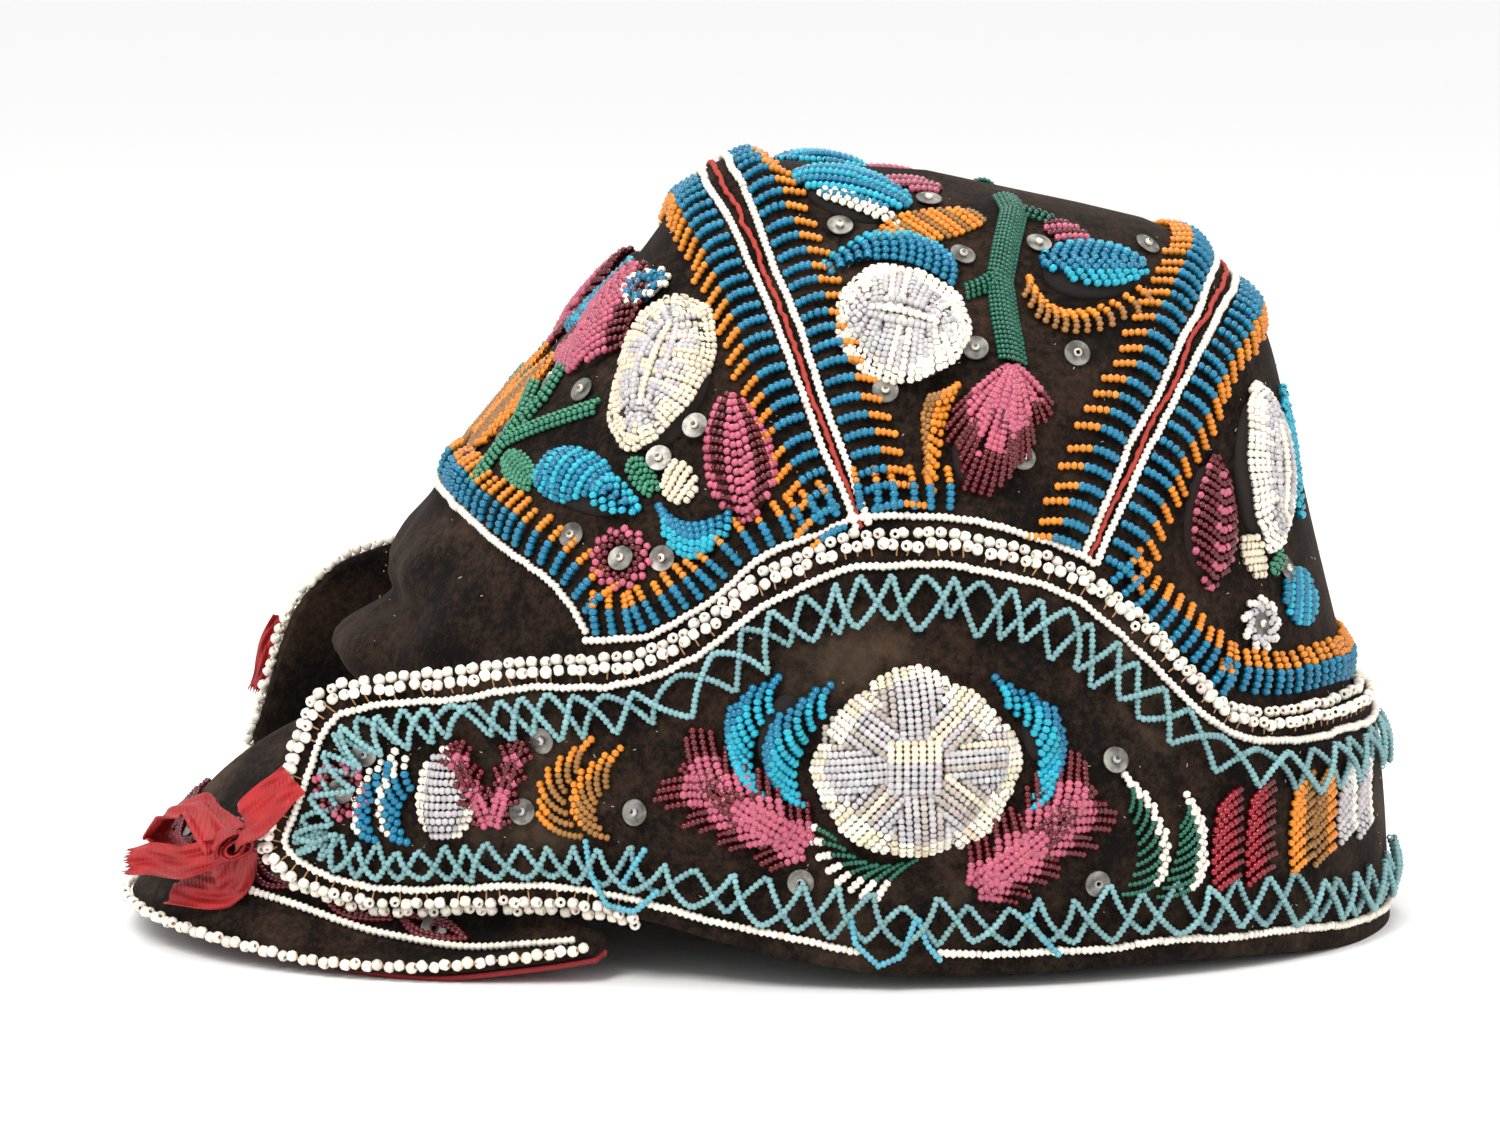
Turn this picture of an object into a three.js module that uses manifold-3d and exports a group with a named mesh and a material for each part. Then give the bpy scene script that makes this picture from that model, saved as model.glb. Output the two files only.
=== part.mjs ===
// A beaded velvet cap with a visor: a domed crown sewn from three panels, a plain forehead gusset,
// a wide cuff whose front ends are free flaps, a downturned visor with a red lining, and a torn ribbon bow.
// Millimetres, +Z up. The visor points along -X and the wearer's left side faces -Y.
import * as THREE from "three";
import { mergeVertices } from "three/addons/utils/BufferGeometryUtils.js";
import Module from "manifold-3d";

// Driving dimensions
const HALF_LENGTH = 107; // from the middle of the head opening to the back of the crown
const HALF_WIDTH = 79; // from the middle of the head opening to the side of the crown
const CROWN_HEIGHT = 162;
const CROWN_WALL = 2; // velvet, padding and backing together
const BAND_WALL = 2.2;
const BAND_GAP = 0.5; // between the crown and the cuff round it
const FLAP_LENGTH = 73.5; // from the temple to the round front end
const FLAP_FLARE = 8; // degrees that a flap turns out from the line of the cuff
const TEMPLE = 124; // degrees from the back, where the cuff leaves the crown
const VISOR_REACH = 95; // from the temples to the tip, seen from above
const VISOR_HALF_WIDTH = 68;
const VISOR_WALL = 2;
const VISOR_BULGE = 7;
const LINING_WALL = 1;
const LINING_GAP = 0.5; // between the visor and its lining
const LINING_INSET = 0.05; // share of the way in from the rim
const GAP = 0.3; // between two pieces that are sewn together
const SEAT_GAP = 0.6; // between the crown and what is sewn on it
const PIPING_DIAMETER = 1.3; // the red cord in each crown seam
const EDGING_DIAMETER = 2.6; // the string of large beads round the cuff
const RIM_DIAMETER = 2.4; // the string of paired beads round the visor
const RIM_LIFT = 2.2; // from the visor's lowest edge to its beads
const RIBBON_WALL = 0.8;
const RIBBON_WIDTH = 9;

// Crown rings from the base up. frontX and backX are shares of HALF_LENGTH, frontZ and backZ of
// CROWN_HEIGHT, half of HALF_WIDTH, and square is the power of the ring's superellipse.
const RINGS = [
  { at: 0.0, frontX: -0.96, frontZ: -0.03, backX: 0.985, backZ: -0.03, half: 1.0, square: 2.15 },
  { at: 0.18, frontX: -0.985, frontZ: 0.2, backX: 0.96, backZ: 0.2, half: 0.985, square: 2.15 },
  { at: 0.34, frontX: -1.015, frontZ: 0.37, backX: 0.91, backZ: 0.34, half: 0.95, square: 2.15 },
  { at: 0.5, frontX: -0.89, frontZ: 0.555, backX: 0.84, backZ: 0.52, half: 0.88, square: 2.2 },
  { at: 0.62, frontX: -0.77, frontZ: 0.655, backX: 0.79, backZ: 0.655, half: 0.79, square: 2.3 },
  { at: 0.74, frontX: -0.62, frontZ: 0.765, backX: 0.745, backZ: 0.765, half: 0.675, square: 2.35 },
  { at: 0.84, frontX: -0.49, frontZ: 0.857, backX: 0.7, backZ: 0.815, half: 0.545, square: 2.4 },
  { at: 0.92, frontX: -0.385, frontZ: 0.945, backX: 0.64, backZ: 0.86, half: 0.4, square: 2.4 },
  { at: 0.97, frontX: -0.3, frontZ: 0.988, backX: 0.54, backZ: 0.9, half: 0.25, square: 2.3 },
  { at: 1.0, frontX: 0.08, frontZ: 0.972, backX: 0.08, backZ: 0.972, half: 0, square: 2.2 },
];

// Folds of the forehead gusset. height and spread are shares of CROWN_HEIGHT, swell is a share of
// HALF_LENGTH, and reach is how far the fold runs round from the front, in degrees.
const FOLDS = [
  { height: 0.365, spread: 0.04, swell: 0.065, reach: 34 },
  { height: 0.43, spread: 0.026, swell: -0.035, reach: 42 },
  { height: 0.475, spread: 0.045, swell: 0.02, reach: 28 },
];

// Lines of the side view. x is a share of HALF_LENGTH and z of CROWN_HEIGHT.
const FRONT_SEAM = [
  { x: 0.0, z: -0.2 },
  { x: -0.03, z: 0.3 },
  { x: -0.119, z: 0.56 },
  { x: -0.184, z: 0.683 },
  { x: -0.244, z: 0.809 },
  { x: -0.294, z: 0.906 },
  { x: -0.335, z: 0.975 },
  { x: -0.38, z: 1.2 },
];
const BACK_SEAM = [
  { x: 0.12, z: -0.2 },
  { x: 0.19, z: 0.3 },
  { x: 0.299, z: 0.51 },
  { x: 0.407, z: 0.644 },
  { x: 0.535, z: 0.771 },
  { x: 0.62, z: 0.826 },
  { x: 0.7, z: 0.868 },
  { x: 1.0, z: 1.02 },
];
const GUSSET_LINE = [
  { x: -1.3, z: 0.571 },
  { x: -0.881, z: 0.564 },
  { x: -0.801, z: 0.527 },
  { x: -0.732, z: 0.503 },
  { x: -0.679, z: 0.477 },
  { x: -0.636, z: 0.432 },
  { x: -0.6, z: 0.39 },
  { x: -0.56, z: 0.25 },
  { x: -0.55, z: -0.2 },
];
const BASE_LINE = [
  { x: 1.4, z: 0.005 },
  { x: 0.8, z: 0.012 },
  { x: 0.45, z: 0.027 },
  { x: -0.05, z: 0.028 },
  { x: -0.25, z: 0.045 },
  { x: -0.42, z: 0.07 },
  { x: -0.55, z: 0.096 },
  { x: -0.75, z: 0.13 },
  { x: -0.89, z: 0.18 },
  { x: -0.99, z: 0.235 },
  { x: -1.4, z: 0.26 },
];

// The cuff's edges, low and top as shares of CROWN_HEIGHT. at runs 0 to 1 from the back to the temple
// and 1 to 2 along the flap. farTop is the right-hand flap, which stands higher.
const BAND_EDGES = [
  { at: 0.0, low: 0, top: 0.298, farTop: 0.298 },
  { at: 0.19, low: 0, top: 0.3, farTop: 0.3 },
  { at: 0.25, low: 0, top: 0.301, farTop: 0.301 },
  { at: 0.345, low: 0.008, top: 0.303, farTop: 0.303 },
  { at: 0.37, low: 0.011, top: 0.305, farTop: 0.305 },
  { at: 0.414, low: 0.016, top: 0.323, farTop: 0.323 },
  { at: 0.452, low: 0.019, top: 0.374, farTop: 0.374 },
  { at: 0.481, low: 0.021, top: 0.417, farTop: 0.417 },
  { at: 0.511, low: 0.022, top: 0.454, farTop: 0.454 },
  { at: 0.573, low: 0.022, top: 0.507, farTop: 0.507 },
  { at: 0.633, low: 0.02, top: 0.534, farTop: 0.534 },
  { at: 0.704, low: 0.02, top: 0.551, farTop: 0.551 },
  { at: 0.783, low: 0.024, top: 0.552, farTop: 0.552 },
  { at: 0.828, low: 0.034, top: 0.529, farTop: 0.529 },
  { at: 0.881, low: 0.048, top: 0.493, farTop: 0.5 },
  { at: 0.905, low: 0.057, top: 0.455, farTop: 0.475 },
  { at: 0.937, low: 0.068, top: 0.423, farTop: 0.455 },
  { at: 0.972, low: 0.08, top: 0.401, farTop: 0.443 },
  { at: 1.05, low: 0.095, top: 0.393, farTop: 0.44 },
  { at: 1.2, low: 0.098, top: 0.389, farTop: 0.45 },
  { at: 1.39, low: 0.095, top: 0.375, farTop: 0.458 },
  { at: 1.66, low: 0.088, top: 0.358, farTop: 0.433 },
  { at: 1.78, low: 0.092, top: 0.341, farTop: 0.385 },
  { at: 1.866, low: 0.105, top: 0.283, farTop: 0.32 },
  { at: 1.91, low: 0.111, top: 0.245, farTop: 0.28 },
  { at: 1.97, low: 0.135, top: 0.19, farTop: 0.225 },
  { at: 2.0, low: 0.15, top: 0.165, farTop: 0.2 },
];

// The visor by degrees from its tip: the height of its rim and of the line where it is sewn on, as
// shares of CROWN_HEIGHT, and the share of the full bulge between them.
const VISOR = [
  { at: 0, rim: 0.035, seat: 0.305, bulge: 1 },
  { at: 20, rim: 0.029, seat: 0.29, bulge: 0.85 },
  { at: 40, rim: 0.017, seat: 0.225, bulge: 0.2 },
  { at: 55, rim: 0.006, seat: 0.155, bulge: -0.5 },
  { at: 65, rim: 0.007, seat: 0.112, bulge: -0.6 },
  { at: 78, rim: 0.021, seat: 0.075, bulge: -0.3 },
  { at: 90, rim: 0.038, seat: 0.056, bulge: 0 },
];
const VISOR_SPAN = 54; // degrees round the crown from the front to each end of the visor

// Raised beadwork on the crown. turn is in degrees from the back, up is the ring, wide and tall are
// half sizes as shares of HALF_WIDTH, tilt is in degrees and puff is the height in millimetres.
const CROWN_MOTIFS = [
  { name: "rose_front", turn: 133.9, up: 0.709, wide: 0.128, tall: 0.269, tilt: 26.8, puff: 4.5, colour: "white" },
  { name: "bud_front", turn: 115.4, up: 0.61, wide: 0.076, tall: 0.193, tilt: 29.6, puff: 3.5, colour: "pink" },
  { name: "bud_high", turn: 159.5, up: 0.779, wide: 0.103, tall: 0.207, tilt: 24, puff: 3, colour: "pink" },
  { name: "bud_low", turn: 135.2, up: 0.558, wide: 0.157, tall: 0.066, tilt: -14.2, puff: 3, colour: "blue" },
  { name: "rose_top", turn: 99.4, up: 0.783, wide: 0.143, tall: 0.208, tilt: 41.8, puff: 4.5, colour: "white" },
  { name: "bud_top", turn: 81.4, up: 0.644, wide: 0.109, tall: 0.173, tilt: -11.1, puff: 3.5, colour: "pink" },
  { name: "leaf_back", turn: 65.4, up: 0.883, wide: 0.157, tall: 0.095, tilt: 10.5, puff: 3, colour: "blue" },
  { name: "flower_top", turn: 116.6, up: 0.951, wide: 0.156, tall: 0.098, tilt: -20, puff: 3, colour: "blue" },
  { name: "bud_back", turn: 49.6, up: 0.527, wide: 0.078, tall: 0.163, tilt: -11.1, puff: 3.5, colour: "pink" },
  { name: "rose_back", turn: 36.1, up: 0.577, wide: 0.121, tall: 0.216, tilt: -15.5, puff: 4.5, colour: "white" },
];

// Raised beadwork on the cuff: at as in BAND_EDGES, height as a share of CROWN_HEIGHT, and wide and
// tall as half sizes in shares of CROWN_HEIGHT.
const BAND_MOTIFS = [
  { name: "rosette", at: 0.73, height: 0.283, wide: 0.132, tall: 0.108, tilt: 32, puff: 5, colour: "white" },
  { name: "feather_front", at: 0.839, height: 0.321, wide: 0.028, tall: 0.059, tilt: -23.6, puff: 3, colour: "blue" },
  { name: "feather_rear", at: 0.611, height: 0.321, wide: 0.023, tall: 0.047, tilt: -8.6, puff: 3, colour: "blue" },
  { name: "fern_front", at: 0.884, height: 0.239, wide: 0.04, tall: 0.074, tilt: 41, puff: 3, colour: "pink" },
  { name: "fern_rear", at: 0.627, height: 0.193, wide: 0.039, tall: 0.094, tilt: -53.1, puff: 3, colour: "pink" },
  { name: "fan", at: 1.467, height: 0.231, wide: 0.032, tall: 0.056, tilt: -16.3, puff: 3.5, colour: "white" },
];

// Ribbon runs from the knot, in ribbon widths towards the visor's tip, in towards its middle, and up.
// The last three columns say which way the width of the cloth lies.
const RIBBON_RUNS = {
  ribbon_loop: [
    { ahead: 0.41, inward: 0.28, rise: 0.2, wideAhead: -0.5, wideIn: 0.2, wideUp: 0.67 },
    { ahead: 0.8, inward: 0.95, rise: 0.75, wideAhead: -0.2, wideIn: 0.9, wideUp: 0.3 },
    { ahead: 1.4, inward: 1.8, rise: 0.5, wideAhead: -0.5, wideIn: 0.8, wideUp: 0.1 },
    { ahead: 1.75, inward: 2.2, rise: -0.1, wideAhead: -0.6, wideIn: 0.8, wideUp: 0 },
    { ahead: 1.4, inward: 2.0, rise: -0.5, wideAhead: -0.5, wideIn: 0.8, wideUp: 0.1 },
  ],
  ribbon_tail: [
    { ahead: 0.44, inward: 0.1, rise: -0.3, wideAhead: 0.65, wideIn: 0.27, wideUp: 1 },
    { ahead: 1.2, inward: 0.55, rise: -0.5, wideAhead: 0, wideIn: 0.3, wideUp: 1 },
    { ahead: 1.9, inward: 1.2, rise: -0.5, wideAhead: 0, wideIn: 0.2, wideUp: 1 },
    { ahead: 2.55, inward: 1.7, rise: -0.7, wideAhead: 0, wideIn: 0.5, wideUp: 0.8 },
  ],
  ribbon_fold: [
    { ahead: 0.08, inward: 0.28, rise: -0.43, wideAhead: 1, wideIn: 0.4, wideUp: 0.48 },
    { ahead: 0.15, inward: 0.55, rise: -1.05, wideAhead: 0.9, wideIn: 0.3, wideUp: 0.3 },
    { ahead: 0.6, inward: 1, rise: -1.25, wideAhead: 0.5, wideIn: 0.8, wideUp: 0.5 },
    { ahead: 1.35, inward: 1.6, rise: -1.25, wideAhead: -0.5, wideIn: 0.7, wideUp: 0.4 },
  ],
};

// Finish of each material
const FINISHES = {
  velvet: { color: 0x2d201c, roughness: 0.95, metalness: 0 },
  lining: { color: 0x7a1a1e, roughness: 0.7, metalness: 0 },
  ribbon: { color: 0xb4121f, roughness: 0.55, metalness: 0 },
  piping: { color: 0xbe463c, roughness: 0.8, metalness: 0 },
  white: { color: 0xebe4da, roughness: 0.4, metalness: 0 },
  pink: { color: 0xbe5a82, roughness: 0.3, metalness: 0 },
  blue: { color: 0x0f73a5, roughness: 0.3, metalness: 0 },
};

const wasm = await Module();
wasm.setup();

const radians = THREE.MathUtils.degToRad;
const mix = THREE.MathUtils.lerp;
const clamp = THREE.MathUtils.clamp;

// A smooth value from one column of a table, with no overshoot between rows.
function follow(table, column, at) {
  const last = table.length - 1;
  const place = clamp(at, table[0].at, table[last].at);
  let row = 0;
  while (row < last - 1 && place > table[row + 1].at) {
    row += 1;
  }
  const rise = (i) => (table[i + 1][column] - table[i][column]) / (table[i + 1].at - table[i].at);
  const slope = (i) => {
    if (i === 0) return rise(0);
    if (i === last) return rise(last - 1);
    const before = rise(i - 1);
    const after = rise(i);
    if (before * after <= 0) return 0;
    const left = table[i].at - table[i - 1].at;
    const right = table[i + 1].at - table[i].at;
    const weightBefore = 2 * right + left;
    const weightAfter = right + 2 * left;
    return (weightBefore + weightAfter) / (weightBefore / before + weightAfter / after);
  };
  const width = table[row + 1].at - table[row].at;
  const s = (place - table[row].at) / width;
  const start = table[row][column] * (1 + 2 * s) * (1 - s) ** 2;
  const end = table[row + 1][column] * s * s * (3 - 2 * s);
  const bend = slope(row) * s * (1 - s) ** 2 + slope(row + 1) * s * s * (s - 1);
  return start + end + bend * width;
}

function ringAt(up) {
  const frontX = follow(RINGS, "frontX", up) * HALF_LENGTH;
  const backX = follow(RINGS, "backX", up) * HALF_LENGTH;
  return {
    centre: (frontX + backX) / 2,
    reach: (backX - frontX) / 2,
    frontZ: follow(RINGS, "frontZ", up) * CROWN_HEIGHT,
    backZ: follow(RINGS, "backZ", up) * CROWN_HEIGHT,
    half: follow(RINGS, "half", up) * HALF_WIDTH,
    square: follow(RINGS, "square", up),
  };
}

// A point of the crown's outer surface: up is the ring, turn is in degrees from the back.
function crownPoint(up, turn) {
  const ring = ringAt(up);
  const c = Math.cos(radians(turn));
  const s = Math.sin(radians(turn));
  const round = (Math.abs(c) ** ring.square + Math.abs(s) ** ring.square) ** (-1 / ring.square);
  let x = ring.centre + ring.reach * round * c;
  const z = mix(ring.frontZ, ring.backZ, (round * c + 1) / 2);
  const fromFront = THREE.MathUtils.radToDeg(Math.acos(clamp(-c, -1, 1)));
  for (const fold of FOLDS) {
    if (fromFront < fold.reach) {
      const fade = Math.cos(radians((90 * fromFront) / fold.reach)) ** 2;
      const height = (z / CROWN_HEIGHT - fold.height) / fold.spread;
      x -= fold.swell * HALF_LENGTH * Math.exp(-height * height) * fade;
    }
  }
  return new THREE.Vector3(x, ring.half * round * s, z);
}

function crownNormal(up, turn) {
  if (up > 0.998) return new THREE.Vector3(0, 0, 1);
  const step = 0.001;
  const rise = crownPoint(up + step, turn).sub(crownPoint(Math.max(up - step, 0), turn));
  const along = crownPoint(up, turn + 0.5).sub(crownPoint(up, turn - 0.5));
  return along.cross(rise).normalize();
}

// The ring on which the crown reaches a height, at one turn.
function ringForHeight(turn, height) {
  let low = 0;
  let high = 0.999;
  for (let i = 0; i < 30; i += 1) {
    const middle = (low + high) / 2;
    if (crownPoint(middle, turn).z < height) low = middle;
    else high = middle;
  }
  return (low + high) / 2;
}

// The half width of the crown at a place of the side view, or zero outside it.
function crownHalfWidth(x, z) {
  let low = 0;
  let high = 0.999;
  for (let i = 0; i < 34; i += 1) {
    const middle = (low + high) / 2;
    const ring = ringAt(middle);
    const share = (x - ring.centre) / ring.reach;
    if (mix(ring.frontZ, ring.backZ, (share + 1) / 2) < z) low = middle;
    else high = middle;
  }
  const ring = ringAt((low + high) / 2);
  const share = Math.abs((x - ring.centre) / ring.reach);
  return share < 1 ? ring.half * (1 - share ** ring.square) ** (1 / ring.square) : 0;
}

// A point of the cuff on its right-hand side for positive at, off its inner face by the given distance.
function bandPoint(at, height, off) {
  const side = Math.sign(at) || 1;
  const turn = Math.min(Math.abs(at), 1) * TEMPLE;
  const ring = ringForHeight(turn, height);
  const point = crownPoint(ring, turn);
  const normal = crownNormal(ring, turn);
  const level = Math.hypot(normal.x, normal.y);
  const outward = new THREE.Vector3(normal.x / level, normal.y / level, 0);
  point.addScaledVector(outward, (BAND_GAP + off) / level);
  const along = (Math.abs(at) - 1) * FLAP_LENGTH;
  if (along > 0) {
    const forward = new THREE.Vector3(-outward.y, outward.x, 0);
    const ease = 8 * (1 - Math.exp(-along / 8));
    point.addScaledVector(forward, along);
    point.addScaledVector(outward, Math.tan(radians(FLAP_FLARE)) * (along - ease));
  }
  point.y *= side;
  return point;
}

function bandEdge(at, edge) {
  const column = edge === "top" && at > 0 ? "farTop" : edge;
  return follow(BAND_EDGES, column, Math.abs(at)) * CROWN_HEIGHT;
}

// A point of the visor's upper surface: round is in degrees from the tip, out runs from seat to rim.
function visorPoint(round, out) {
  const angle = Math.abs(round);
  const side = Math.sign(round) || 1;
  const turn = 180 - (VISOR_SPAN * angle) / 90;
  const seatHeight = follow(VISOR, "seat", angle) * CROWN_HEIGHT;
  const ring = ringForHeight(turn, seatHeight);
  const seat = crownPoint(ring, turn);
  const normal = crownNormal(ring, turn).setZ(0).normalize();
  seat.addScaledVector(normal, SEAT_GAP);
  const temple = crownPoint(0.18, 180 - VISOR_SPAN);
  const rim = new THREE.Vector3(
    temple.x - VISOR_REACH * Math.cos(radians(angle)),
    VISOR_HALF_WIDTH * Math.sin(radians(angle)),
    follow(VISOR, "rim", angle) * CROWN_HEIGHT + VISOR_WALL,
  );
  const point = seat.clone().lerp(rim, out);
  const swell = follow(VISOR, "bulge", angle) * VISOR_BULGE * Math.sin(Math.PI * Math.min(out, 1));
  point.addScaledVector(normal, 0.6 * swell);
  point.z += 0.8 * swell;
  point.y *= side;
  return point;
}

function visorNormal(round, out) {
  const step = 0.02;
  const outward = visorPoint(round, out + step).sub(visorPoint(round, out - step));
  const along = visorPoint(round + 1, out).sub(visorPoint(round - 1, out));
  return along.cross(outward).normalize();
}

// The visor's surface sunk by a depth: straight down at the seat and square to the cloth at the rim.
function visorLayer(round, out, depth) {
  const normal = visorNormal(round, out);
  const direction = new THREE.Vector3(0, 0, 1).lerp(normal, out).normalize();
  return visorPoint(round, out).addScaledVector(direction, -depth / Math.max(direction.dot(normal), 0.4));
}

function geometryFrom(points, faces) {
  const geometry = new THREE.BufferGeometry();
  geometry.setAttribute("position", new THREE.Float32BufferAttribute(points.flatMap((p) => [p.x, p.y, p.z]), 3));
  geometry.setIndex(faces);
  return geometry;
}

// A closed solid between two grids of points, the outer one seen from outside.
function sheetSolid(outer, inner) {
  const rows = outer.length;
  const columns = outer[0].length;
  const points = [...outer.flat(), ...inner.flat()];
  const place = (row, column, layer) => layer * rows * columns + row * columns + column;
  const faces = [];
  const quad = (a, b, c, d) => faces.push(a, b, c, a, c, d);
  for (let r = 0; r < rows - 1; r += 1) {
    for (let c = 0; c < columns - 1; c += 1) {
      quad(place(r, c, 0), place(r, c + 1, 0), place(r + 1, c + 1, 0), place(r + 1, c, 0));
      quad(place(r, c, 1), place(r + 1, c, 1), place(r + 1, c + 1, 1), place(r, c + 1, 1));
    }
    quad(place(r, 0, 0), place(r + 1, 0, 0), place(r + 1, 0, 1), place(r, 0, 1));
    quad(place(r, columns - 1, 0), place(r, columns - 1, 1), place(r + 1, columns - 1, 1), place(r + 1, columns - 1, 0));
  }
  for (let c = 0; c < columns - 1; c += 1) {
    quad(place(0, c, 0), place(0, c, 1), place(0, c + 1, 1), place(0, c + 1, 0));
    quad(place(rows - 1, c, 0), place(rows - 1, c + 1, 0), place(rows - 1, c + 1, 1), place(rows - 1, c, 1));
  }
  return geometryFrom(points, faces);
}

// A closed solid of revolution-like rings that ends in a pole above and a flat cap below.
function domeSolid(rings, pole) {
  const count = rings[0].length;
  const points = [...rings.flat(), pole];
  const centre = new THREE.Vector3();
  rings[0].forEach((point) => centre.addScaledVector(point, 1 / count));
  points.push(centre);
  const faces = [];
  for (let r = 0; r < rings.length - 1; r += 1) {
    for (let c = 0; c < count; c += 1) {
      const next = (c + 1) % count;
      const a = r * count + c;
      const b = r * count + next;
      faces.push(a, b, b + count, a, b + count, a + count);
    }
  }
  const top = (rings.length - 1) * count;
  for (let c = 0; c < count; c += 1) {
    const next = (c + 1) % count;
    faces.push(top + c, top + next, points.length - 2);
    faces.push(next, c, points.length - 1);
  }
  return geometryFrom(points, faces);
}

// A string or cord as a closed tube: one ring of points at each place of the route, and flat ends.
function tube(route, diameter, sides) {
  const points = [];
  const faces = [];
  const across = new THREE.Vector3(0, 0, 1);
  route.forEach((place, i) => {
    const run = route[Math.min(i + 1, route.length - 1)].clone().sub(route[Math.max(i - 1, 0)]).normalize();
    across.addScaledVector(run, -across.dot(run)).normalize();
    const upright = run.clone().cross(across);
    for (let k = 0; k < sides; k += 1) {
      const angle = (2 * Math.PI * k) / sides;
      const point = place.clone().addScaledVector(across, (diameter / 2) * Math.cos(angle));
      points.push(point.addScaledVector(upright, (diameter / 2) * Math.sin(angle)));
    }
  });
  const last = points.length - sides;
  for (let i = 0; i < route.length - 1; i += 1) {
    for (let k = 0; k < sides; k += 1) {
      const a = i * sides + k;
      const b = i * sides + ((k + 1) % sides);
      faces.push(a, b, b + sides, a, b + sides, a + sides);
    }
  }
  for (let k = 1; k < sides - 1; k += 1) {
    faces.push(0, k + 1, k);
    faces.push(last, last + k, last + k + 1);
  }
  return geometryFrom(points, faces);
}

function toManifold(geometry) {
  const bare = geometry.clone();
  bare.deleteAttribute("normal");
  bare.deleteAttribute("uv");
  const merged = mergeVertices(bare, 1e-4);
  const mesh = new wasm.Mesh({
    numProp: 3,
    vertProperties: new Float32Array(merged.attributes.position.array),
    triVerts: new Uint32Array(merged.index.array),
  });
  return new wasm.Manifold(mesh);
}

function fromManifold(solid) {
  const mesh = solid.getMesh();
  const geometry = new THREE.BufferGeometry();
  geometry.setAttribute("position", new THREE.BufferAttribute(new Float32Array(mesh.vertProperties), 3));
  geometry.setIndex(new THREE.BufferAttribute(new Uint32Array(mesh.triVerts), 1));
  return geometry;
}

// A block as wide as the cap over a region of the side view.
function sideBlock(outline) {
  const shape = new THREE.Shape(outline.map((p) => new THREE.Vector2(p.x, p.z)));
  const block = new THREE.ExtrudeGeometry(shape, { depth: 4 * HALF_WIDTH, bevelEnabled: false });
  block.translate(0, 0, -2 * HALF_WIDTH);
  block.rotateX(Math.PI / 2);
  return toManifold(block);
}

const sideLine = (line) => line.map((p) => ({ x: p.x * HALF_LENGTH, z: p.z * CROWN_HEIGHT }));

// A side-view line moved sideways, to its left when walked from its first point to its last.
function movedLine(line, distance) {
  return line.map((p, i) => {
    const before = line[Math.max(i - 1, 0)];
    const after = line[Math.min(i + 1, line.length - 1)];
    const length = Math.hypot(after.x - before.x, after.z - before.z);
    return { x: p.x - (distance * (after.z - before.z)) / length, z: p.z + (distance * (after.x - before.x)) / length };
  });
}

const cap = new THREE.Group();
cap.name = "beaded_visor_cap";

function addPiece(name, geometry, finish) {
  const mesh = new THREE.Mesh(geometry, new THREE.MeshStandardMaterial(FINISHES[finish]));
  mesh.name = name;
  mesh.material.name = finish;
  cap.add(mesh);
}

// Crown shell
const OUTER_UPS = [0, 0.1, 0.2, 0.28, 0.34, 0.37, 0.4, 0.43, 0.46, 0.5, 0.56, 0.62, 0.68, 0.74, 0.79, 0.84, 0.88, 0.92, 0.95, 0.975];
const INNER_UPS = [0, 0.2, 0.3, 0.34, 0.37, 0.4, 0.43, 0.46, 0.5, 0.6, 0.7, 0.79, 0.87, 0.93, 0.97];

function crownDome(ups, columns, depth) {
  const rings = ups.map((up) => {
    const ring = [];
    for (let i = 0; i < columns; i += 1) {
      const turn = (360 * i) / columns;
      const point = crownPoint(up, turn).addScaledVector(crownNormal(up, turn), -depth);
      if (up === 0) point.z -= depth;
      ring.push(point);
    }
    return ring;
  });
  const pole = crownPoint(1, 0);
  pole.z -= depth;
  return toManifold(domeSolid(rings, pole));
}

const shell = crownDome(OUTER_UPS, 48, 0).subtract(crownDome(INNER_UPS, 48, CROWN_WALL));

const seamHalf = PIPING_DIAMETER / 2 + GAP;
const front = sideLine(FRONT_SEAM);
const back = sideLine(BACK_SEAM);
const gusset = sideLine(GUSSET_LINE);
const base = sideLine(BASE_LINE);
const aboveBase = sideBlock([...base, { x: -3 * HALF_LENGTH, z: 3 * CROWN_HEIGHT }, { x: 3 * HALF_LENGTH, z: 3 * CROWN_HEIGHT }]);
const farLeft = [{ x: -3 * HALF_LENGTH, z: 1.2 * CROWN_HEIGHT }, { x: -3 * HALF_LENGTH, z: -0.2 * CROWN_HEIGHT }];
const farRight = [{ x: 3 * HALF_LENGTH, z: -0.2 * CROWN_HEIGHT }, { x: 3 * HALF_LENGTH, z: 1.02 * CROWN_HEIGHT }];
const underGusset = sideBlock([...movedLine(gusset, -GAP / 2), { x: -3 * HALF_LENGTH, z: -0.2 * CROWN_HEIGHT }, { x: -3 * HALF_LENGTH, z: 0.571 * CROWN_HEIGHT }]);
const overGusset = sideBlock([...movedLine(gusset, GAP / 2), { x: 3 * HALF_LENGTH, z: -0.2 * CROWN_HEIGHT }, { x: 3 * HALF_LENGTH, z: 3 * CROWN_HEIGHT }, { x: -3 * HALF_LENGTH, z: 3 * CROWN_HEIGHT }, { x: -3 * HALF_LENGTH, z: 0.571 * CROWN_HEIGHT }]);
const beforeFront = sideBlock([...movedLine(front, seamHalf), ...farLeft]);
const behindFront = movedLine(front, -seamHalf);
const beforeBack = movedLine(back, seamHalf);
const middle = sideBlock([...behindFront, ...beforeBack.toReversed()]);
const behindBack = sideBlock([...movedLine(back, -seamHalf), ...farRight.toReversed()]);

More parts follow.
